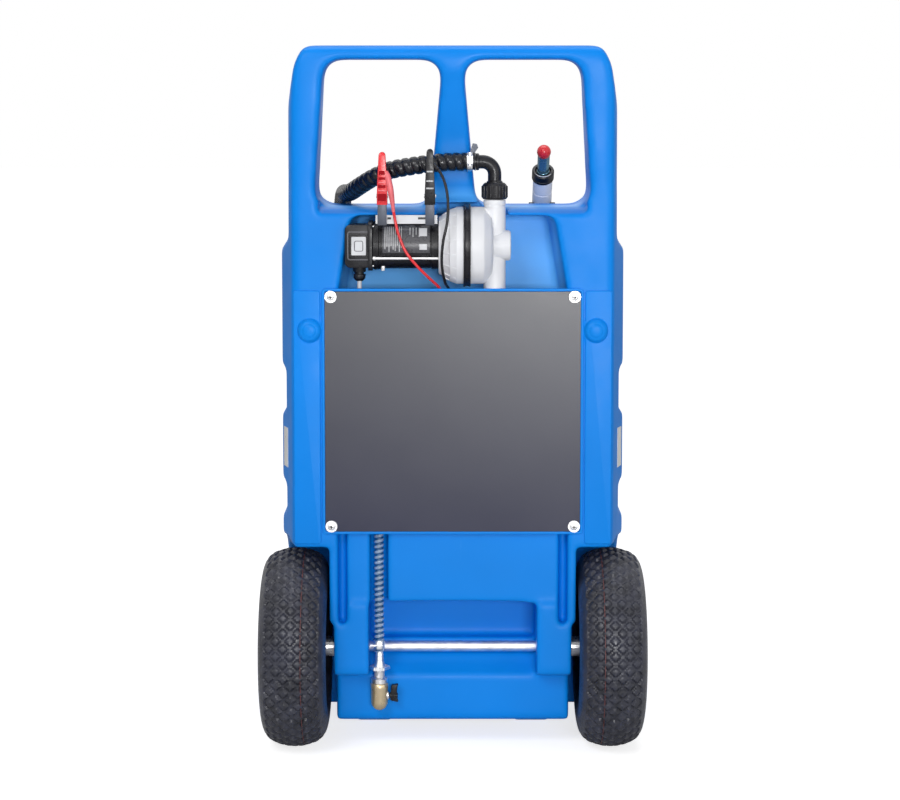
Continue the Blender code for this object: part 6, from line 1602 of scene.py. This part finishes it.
def make_painted_highlight(name, centre, u, radius, half_angle):
    """A painted highlight: a thin white crescent on the side that faces the operator."""
    toward = Vector((0.0, -u.z, u.y))
    across = Vector((1.0, 0.0, 0.0))
    share = np.linspace(-1.0, 1.0, 17)
    turns = [math.radians(half_angle * s) for s in share]
    line = [tuple(centre + toward * radius * math.cos(t) + across * radius * math.sin(t)) for t in turns]
    tube(name, WHITE, line, 0.0008, 12, 1.0 - 0.7 * share**2, body="nozzle")


def make_spout(collar, u):
    """The spout's tube, and the red dust cap with its ball end."""
    r = SPOUT_RADIUS
    end = SPOUT_LENGTH
    profile = [
        (-0.0115, 0.0078), (-0.0115, r), (0.0060, r), (0.0066, r - 0.0006), (0.0140, r - 0.0006),
        (0.0146, r), (end - 0.0006, r), (end, r - 0.0006), (end, 0.0078),
    ]
    spun(
        "nozzle_spout_tube", SPOUT_GREY, profile, u, collar, 56, closed=True, body="nozzle",
        nodes=("nozzle_spout",),
    )
    ball_at = end - 0.0042
    first = math.radians(148.0)
    cap = [(end + GAP, 0.0), (end + GAP, r - 0.0006), (ball_at + CAP_RADIUS * math.cos(first), r - 0.0006)]
    for step in range(14):
        angle = first * (1 - step / 14)
        if CAP_RADIUS * math.sin(angle) > r - 0.0004 or step > 7:
            cap.append((ball_at + CAP_RADIUS * math.cos(angle), CAP_RADIUS * math.sin(angle)))
    cap.append((ball_at + CAP_RADIUS, 0.0))
    spun("dust_cap_red", RED, cap, u, collar, body="nozzle_cap", nodes=("dust_cap",), smooth_angle=50.0)


def make_trigger(hinge, down, out):
    shares = (0.0, 0.25, 0.5, 0.75, 1.0)
    swells = (0.0, 0.0012, 0.0022, 0.0038, 0.0060)
    route = [tuple(hinge + down * TRIGGER_LENGTH * a + out * b) for a, b in zip(shares, swells)]
    line = smooth_route(route, 0.003)
    share = np.linspace(0.0, 1.0, len(line))
    radii = np.interp(share, [0.0, 0.04, 0.9, 1.0], [0.8, 1.0, 1.0, 0.75])
    tube(
        "nozzle_trigger_lever", BLACK, line, 0.0029, 20, radii, flat=2.2, body="trigger",
        nodes=("nozzle_trigger",),
    )
    pin = [
        (-0.0078, 0.0), (-0.0078, 0.0022), (-0.0072, 0.0026), (0.0072, 0.0026), (0.0078, 0.0022),
        (0.0078, 0.0),
    ]
    spun("trigger_pin", STEEL, pin, "X", hinge, 20, body="nozzle")


def make_swivel(grip_end, down):
    def fluted(angle, along, radius):
        if 0.0022 < along < 0.0110 and radius > 0.0160:
            return radius - 0.0007 * max(0.0, math.cos(12 * angle)) ** 2
        return radius

    profile = [
        (0.0, 0.0), (0.0, 0.0152), (0.0010, 0.0164), (0.0022, 0.0165), (0.0026, 0.0165), (0.0108, 0.0165),
        (0.0120, 0.0162), (0.0128, 0.0146), (0.0178, 0.0145), (0.0188, 0.0162), (0.0200, 0.0165),
        (0.0290, 0.0165), (0.0300, 0.0155), (0.0300, 0.0),
    ]
    spun(
        "hose_swivel_nut", BLACK, profile, down, grip_end + down * GAP, 96, wave=fluted, body="swivel",
        nodes=("hose_swivel",),
    )


make_nozzle()
dress("nozzle_cradle", BLACK, 0.0012)
dress("hose_saddle", BLACK, 0.0012)


# Suction line

SUCTION_X, SUCTION_Y, _ = middle("suction_nipple")
SUCTION_RADIUS = 0.0074
SUCTION_BEND = 0.062
SUCTION_CROSS_Z = 0.425
SUCTION_END_Z = 0.1520
SUCTION_PITCH = 0.0080
SUCTION_SECTION = (0.80, 0.80, 0.90, 1.0, 1.0, 0.90)
SUCTION_GROOVE = 0.90
SUCTION_CLIP_Z = (0.1570, 0.1690)
FLANGE_Z = 0.1275
THREAD_PITCH = 0.0014
VALVE_RADIUS = 0.0127


def suction_line():
    """Up from the valve, across the compartment and up again to the pump's inlet."""
    x = SUCTION_X
    bend = SUCTION_BEND
    top = span("pump_head_cover")[0].z - GAP
    start = SUCTION_CROSS_Z - bend
    rise = SUCTION_CROSS_Z + bend
    quarter = [math.pi / 2 * step / 6 for step in range(7)]
    route = [(x, SUCTION_END_Z + (start - SUCTION_END_Z) * s) for s in (0.0, 0.23, 0.46, 0.70, 0.89)]
    route += [(x + bend * (1 - math.cos(t)), start + bend * math.sin(t)) for t in quarter]
    route += [(COLUMN_X - bend + bend * math.sin(t), rise - bend * math.cos(t)) for t in quarter]
    route += [(COLUMN_X, rise + (top - rise) * s) for s in (0.16, 0.45, 0.74, 1.0)]
    return smooth_route([(a, PUMP_Y, b) for a, b in route], 0.003)


def make_suction_hose():
    """The ribbed hose, its grooves of a darker tone than its ribs."""
    line = suction_line()
    mesh = spiral_mesh(
        "suction_hose_ribbed", line, SUCTION_RADIUS, SUCTION_PITCH, SUCTION_SECTION, 20, 0.0, length_of(line)
    )
    hose = finish_piece("suction_hose_ribbed", mesh, CLEAR, nodes=("suction_hose",), smooth_angle=60.0)
    hose.data.materials.append(HOSE_GROOVE)
    spine = np.array(in_frame(even_points(line, 0.0008)))
    for face in hose.data.polygons:
        reach = np.linalg.norm(spine - np.array(face.center), axis=1).min()
        if reach < SUCTION_RADIUS * SUCTION_GROOVE:
            face.material_index = 1


def make_suction_clip():
    x, y = SUCTION_X, SUCTION_Y
    low, high = SUCTION_CLIP_Z
    z = (low + high) / 2
    r = SUCTION_RADIUS + 0.0002
    band = [(low, r), (low, r + 0.0009), (high, r + 0.0009), (high, r)]
    spun("suction_clip_band", STEEL, band, "Z", (x, y, 0.0), closed=True)
    round_box(
        "suction_clip_housing", STEEL, (x - 0.0045, y - r - 0.0050, z - 0.0052),
        (x + 0.0050, y - r + 0.0006, z + 0.0052), "Z", 0.0015, bevel=0.0005,
    )
    screw = [
        (-0.0135, 0.0), (-0.0130, 0.0024), (-0.0105, 0.0030), (-0.0100, 0.0019), (0.0062, 0.0019),
        (0.0062, 0.0),
    ]
    spun("suction_clip_screw", STEEL, screw, "X", (x, y - r - 0.0024, z), 20)


def hexagonal(angle, along, radius):
    """A wave that turns a ring into a hexagon."""
    part = (angle + math.pi / 6) % (math.pi / 3) - math.pi / 6
    return radius * math.cos(math.pi / 6) / math.cos(part)


def make_nipple():
    """The plated hose tail: a ring on the valve, a thread, a wide thin hexagon and the hose barb."""
    low = span("suction_nipple")[0].z
    centre = (SUCTION_X, SUCTION_Y, 0.0)
    bore = 0.0040
    ring = [
        (low, bore), (low, 0.0118), (low + 0.0008, 0.0124), (low + 0.0070, 0.0124), (low + 0.0078, 0.0116),
        (low + 0.0088, 0.0080), (low + 0.0088, bore),
    ]
    spun("nipple_ring", STEEL, ring, "Z", centre, 64, closed=True, nodes=("suction_nipple",))
    thread = [(low + 0.008, 0.0)]
    z = low + 0.0088
    while z < FLANGE_Z - 0.0030:
        thread += [(z, 0.0070), (z + THREAD_PITCH / 2, 0.0080)]
        z += THREAD_PITCH
    thread += [(FLANGE_Z - 0.0022, 0.0070), (FLANGE_Z - 0.0022, 0.0)]
    spun("nipple_thread", ZINC, thread, "Z", centre)
    hexagon = [
        (FLANGE_Z - 0.0028, 0.0), (FLANGE_Z - 0.0028, 0.0148), (FLANGE_Z - 0.0020, 0.0160),
        (FLANGE_Z + 0.0020, 0.0160), (FLANGE_Z + 0.0028, 0.0148), (FLANGE_Z + 0.0028, 0.0),
    ]
    spun("nipple_hexagon", STEEL, hexagon, "Z", centre, 72, wave=hexagonal, smooth_angle=25.0)
    barb = [
        (FLANGE_Z + 0.0020, 0.0), (FLANGE_Z + 0.0020, 0.0088), (FLANGE_Z + 0.0050, 0.0080),
        (FLANGE_Z + 0.0120, 0.0062), (FLANGE_Z + 0.0130, 0.0068), (FLANGE_Z + 0.0180, 0.0058),
        (FLANGE_Z + 0.0190, 0.0064), (FLANGE_Z + 0.0238, 0.0052), (FLANGE_Z + 0.0238, 0.0),
    ]
    spun("nipple_barb", STEEL, barb, "Z", centre)


def make_valve():
    """The brass elbow, its tail into the tank and the seat of its stem."""
    low, high = span("drain_valve")
    r = VALVE_RADIUS
    elbow = [
        (low.z, 0.0), (low.z + 0.0004, 0.0036), (low.z + 0.0017, 0.0066), (low.z + 0.0037, 0.0090),
        (low.z + 0.0066, 0.0111), (low.z + 0.0095, 0.0123), (low.z + r, r), (high.z - 0.0080, r),
        (high.z - 0.0070, r + 0.0003), (high.z - 0.0008, r + 0.0003), (high.z, r - 0.0006), (high.z, 0.0),
    ]
    place = (SUCTION_X, SUCTION_Y, 0.0)
    spun("valve_elbow", BRASS, elbow, "Z", place, 64, nodes=("drain_valve",), smooth_angle=50.0)
    tail = [
        (SUCTION_Y + 0.002, 0.0), (SUCTION_Y + 0.002, 0.0118), (-0.0303, 0.0118), (-0.0303, 0.0078),
        (high.y, 0.0078), (high.y, 0.0),
    ]
    spun("valve_tail", BRASS, tail, "Y", (SUCTION_X, 0.0, low.z + r))
    pivot, _ = joint_place("valve_handle_turn")
    start = SUCTION_X + r
    seat = [
        (start - 0.004, 0.0), (start - 0.004, 0.0062), (start + 0.0008, 0.0062), (start + 0.0018, 0.0054),
        (start + 0.0018, 0.0),
    ]
    spun("valve_stem_seat", STEEL, seat, "X", (0.0, pivot.y, pivot.z), 24)


def make_lever():
    """The black wing handle: a hub, a stem and a wing with a hollowed edge."""
    low, high = span("valve_handle")
    pivot, _ = joint_place("valve_handle_turn")
    hub = [
        (low.x, 0.0), (low.x, 0.0032), (low.x + 0.0012, 0.0046), (high.x - 0.002, 0.0046),
        (high.x - 0.001, 0.0036), (high.x - 0.001, 0.0),
    ]
    place = (0.0, pivot.y, pivot.z)
    spun("valve_lever_hub", BLACK, hub, "X", place, 28, body="valve_lever", nodes=("valve_handle",))
    half = (high.y - low.y) / 2
    outline = []
    for share in (step / 8 for step in range(9)):
        hollow = 0.0022 * math.sin(math.pi * share)
        outline.append((high.x - hollow, low.z + (high.z - low.z) * share))
    outline += [(low.x + 0.0027, high.z - 0.002), (low.x + 0.0012, low.z + 0.003)]
    wing = prism(outline, "Y", pivot.y - half, pivot.y + half)
    piece("valve_lever_wing", wing, BLACK, "valve_lever", bevel=0.0018, segments=3)


make_suction_hose()
make_suction_clip()
make_nipple()
make_valve()
make_lever()


# Filler


def make_filler_cap():
    """The ribbed cap, the bar across its top and its gasket."""
    low, high = span("filler_cap")
    centre = (low + high) / 2
    radius = (high.x - low.x) / 2
    height = high.z - low.z
    inner = 0.0372
    roof = height - 0.0076

    def ribbed(angle, along, r):
        if r > radius * 0.95 and 0.003 < along < height - 0.006:
            return r - 0.0016 * max(0.0, math.cos(30 * angle)) ** 2
        return r

    profile = [
        (roof, 0.0), (roof, inner), (0.0, inner), (0.0, radius - 0.0015), (0.0012, radius - 0.0004),
        (0.0034, radius - 0.0002), (0.0040, radius), (height * 0.5, radius), (height - 0.0066, radius),
        (height - 0.0058, radius - 0.0004), (height - 0.0030, radius - 0.0020), (height, radius - 0.0060),
        (height, 0.0280), (height - 0.0020, 0.0265), (height - 0.0020, 0.0),
    ]
    spun(
        "filler_cap_ribbed", BLACK, profile, "Z", (centre.x, centre.y, low.z), 180, wave=ribbed,
        body="filler_lid", nodes=("filler_cap",),
    )
    round_box(
        "filler_cap_bar", BLACK, (centre.x - 0.0245, centre.y - 0.0050, high.z - 0.0030),
        (centre.x + 0.0245, centre.y + 0.0050, high.z - 0.0002), "Z", 0.0045, body="filler_lid", bevel=0.0008,
    )
    gasket = [(0.0, 0.0300), (0.0, 0.0352), (0.0016, 0.0352), (0.0016, 0.0300)]
    place = (centre.x, centre.y, low.z + roof - 0.0016)
    spun("filler_cap_gasket", RUBBER, gasket, "Z", place, 64, closed=True, body="filler_lid")


make_filler_cap()


# Wheels and axle

BLOCK_ALONG = 0.0228
BLOCK_ACROSS = 0.0216
GROOVE = 0.0034
GROOVE_WIDE = 0.0062
TREAD_EDGE = 0.0448
TYRE_STEPS = 720
SEAM_OFFSET = 0.0148
TYRE_INSIDE = (
    (0.0190, 0.0523), (0.0350, 0.1040), (0.0230, 0.1320), (-0.0230, 0.1320), (-0.0350, 0.1040),
    (-0.0190, 0.0523),
)


def tyre_profile(width, radius):
    """Points (across, radius) over the tyre from one bead to the other."""
    half = width / 2 + 0.0010
    knots = [
        (-0.0270, 0.0523), (-0.0292, 0.0600), (-0.0310, 0.0700), (-half + 0.0045, 0.0850), (-half, 0.1040),
        (-half + 0.0016, 0.1200), (-half + 0.0065, 0.1325), (-half + 0.0160, 0.1420), (-0.0160, 0.1484),
        (0.0, radius),
    ]
    knots += [(-a, r) for a, r in knots[-2::-1]]
    return smooth_route([(a, 0.0, r) for a, r in knots], 0.0024)[:, [0, 2]]


def tread_drop(profile, angle, radius):
    """How far the tread lies below the tyre's own curve: diamonds between crossing grooves."""
    from_middle = distances(profile)
    from_middle -= from_middle[-1] / 2
    around = round(2 * math.pi * radius / BLOCK_ALONG)
    u = angle[:, None] * around / (2 * np.pi)
    v = from_middle[None, :] / BLOCK_ACROSS
    share = np.minimum(np.abs(u + v - np.round(u + v)), np.abs(u - v - np.round(u - v)))
    away = share / math.hypot(1.0 / BLOCK_ALONG, 1.0 / BLOCK_ACROSS)
    depth = np.clip(1.0 - (away - GROOVE_WIDE * 0.30) / (GROOVE_WIDE * 0.28), 0.0, 1.0)
    crown = np.clip((TREAD_EDGE - np.abs(from_middle)) / 0.004, 0.0, 1.0)[None, :]
    block_top = 0.0005 * np.cos(np.clip(share, 0, 0.5) * np.pi)
    edge_line = np.abs(np.abs(from_middle) - TREAD_EDGE - 0.004)
    shoulder = 0.0008 * np.clip(1.0 - edge_line / 0.0016, 0.0, 1.0)[None, :]
    return crown * (GROOVE * depth + block_top) + shoulder


def make_tyre(name):
    """A block-tread tyre with a plain sidewall, hollow as a tyre is."""
    low, high = span(f"tyre_{name}")
    centre = (low + high) / 2
    radius = (high.z - low.z) / 2
    steps = TYRE_STEPS
    angle = 2 * np.pi * np.arange(steps) / steps
    profile = tyre_profile(high.x - low.x, radius)
    outside = profile[None, :, 1] - tread_drop(profile, angle, radius)
    inside = np.array(TYRE_INSIDE)
    across = np.concatenate([profile[:, 0], inside[:, 0]])
    r = np.concatenate([outside, np.repeat(inside[None, :, 1], steps, axis=0)], axis=1)
    points = np.stack(
        [
            np.broadcast_to(across[None, :], r.shape) + centre.x,
            r * np.sin(angle)[:, None] + centre.y,
            r * np.cos(angle)[:, None] + centre.z,
        ],
        axis=-1,
    )
    mesh = grid_mesh(f"tyre_treaded_{name}", points, closed_rows=True)
    finish_piece(f"tyre_treaded_{name}", mesh, TYRE, f"wheel_{name}", (f"tyre_{name}",), 28.0)


def make_seam(side, name):
    """The thin rust-red mould line that runs round the tread beside its middle."""
    low, high = span(f"tyre_{name}")
    foot = (high.z - low.z) / 2 - 0.0045
    top = foot + 0.0023
    across = -side * SEAM_OFFSET
    line = [(across - 0.0004, foot), (across - 0.0004, top), (across + 0.0004, top), (across + 0.0004, foot)]
    spun(f"tyre_seam_{name}", SEAM, line, "X", (low + high) / 2, 160, closed=True, body=f"wheel_{name}")


def make_wheels():
    for side, name in SIDES:
        make_tyre(name)
        make_seam(side, name)
        dress(f"rim_{name}", LIGHT_GREY, 0.0008)
        dress(f"wheel_bush_{name}", BLACK, 0.0003)
        dress(f"hub_cap_{name}", STEEL, 0.0004)
        dress(f"axle_spacer_{name}", STEEL, 0.0005)
    dress("axle", ZINC)


make_wheels()


# Floor, world and lamps

FLOOR_HALF = 40.0
FLOOR_GREY = (0.74, 0.74, 0.75)
FLOOR_NEAR = 0.72
FLOOR_FAR = 0.88
FLOOR_IN_MIRRORS = 0.15
AMBIENT = 0.22
WHITE_LIGHT = (1.0, 1.0, 1.0)
LAMP_TARGET = Vector((0.0, 0.0, 0.55))


def most_of(tree, first, others):
    """The largest of several values."""
    for other in others:
        first = arithmetic(tree, "MAXIMUM", first, other)
    return first


def white_floor():
    """A pale floor that the camera sees as white, with the object's shadow near it."""
    material = bpy.data.materials.new("floor_white")
    material.use_nodes = True
    tree = material.node_tree
    tree.nodes.clear()
    out = tree.nodes.new("ShaderNodeOutputMaterial")
    both = tree.nodes.new("ShaderNodeAddShader")
    plain = tree.nodes.new("ShaderNodeBsdfDiffuse")
    plain.inputs["Color"].default_value = (*FLOOR_GREY, 1.0)
    glow = tree.nodes.new("ShaderNodeEmission")
    glow.inputs["Color"].default_value = (*WHITE_LIGHT, 1.0)
    away = tree.nodes.new("ShaderNodeVectorMath")
    away.operation = "LENGTH"
    wire(tree, object_place(tree), away.inputs[0])
    ring = ramp(tree, away.outputs["Value"], FLOOR_NEAR, FLOOR_FAR, 1.2, 4.0)
    path = tree.nodes.new("ShaderNodeLightPath").outputs
    mirrored = arithmetic(tree, "MULTIPLY", path["Is Glossy Ray"], FLOOR_IN_MIRRORS)
    seen = most_of(tree, mirrored, (path["Is Camera Ray"], path["Is Transmission Ray"]))
    wire(tree, arithmetic(tree, "MULTIPLY", ring, seen), glow.inputs["Strength"])
    wire(tree, plain.outputs[0], both.inputs[0])
    wire(tree, glow.outputs[0], both.inputs[1])
    wire(tree, both.outputs[0], out.inputs["Surface"])
    return material


def make_floor():
    bm = bmesh.new()
    corners = ((-1, -1), (1, -1), (1, 1), (-1, 1))
    bm.faces.new([bm.verts.new((x * FLOOR_HALF, y * FLOOR_HALF, 0.0)) for x, y in corners])
    mesh = mesh_of("floor", bm)
    mesh.materials.append(white_floor())
    floor = bpy.data.objects.new("floor", mesh)
    bpy.context.collection.objects.link(floor)


def make_world():
    """A white surrounding for the camera, for mirrors and for clear parts, and a dim one for the rest."""
    world = bpy.data.worlds.new("studio")
    bpy.context.scene.world = world
    world.use_nodes = True
    tree = world.node_tree
    background = tree.nodes["Background"]
    background.inputs["Color"].default_value = (*WHITE_LIGHT, 1.0)
    path = tree.nodes.new("ShaderNodeLightPath").outputs
    seen = most_of(tree, path["Is Camera Ray"], (path["Is Glossy Ray"], path["Is Transmission Ray"]))
    wire(tree, ramp(tree, seen, AMBIENT, 1.0, 0.0, 1.0), background.inputs["Strength"])


def soft_lamp(name, place, size, power):
    data = bpy.data.lights.new(name, "AREA")
    data.shape = "RECTANGLE"
    data.size, data.size_y = size
    data.energy = power
    data.color = WHITE_LIGHT
    lamp = bpy.data.objects.new(name, data)
    lamp.location = place
    lamp.rotation_euler = (LAMP_TARGET - Vector(place)).to_track_quat("-Z", "Y").to_euler()
    bpy.context.collection.objects.link(lamp)


make_floor()
make_world()
soft_lamp("key_lamp", (-1.5, -3.5, 2.9), (1.6, 1.6), 62.0)
soft_lamp("front_lamp", (0.6, -4.7, 1.0), (1.3, 0.9), 96.0)
soft_lamp("side_lamp", (2.8, -2.6, 1.6), (1.0, 2.2), 14.0)
soft_lamp("top_lamp", (0.0, 0.3, 3.2), (2.4, 1.4), 34.0)
bpy.context.scene.view_settings.view_transform = "Standard"
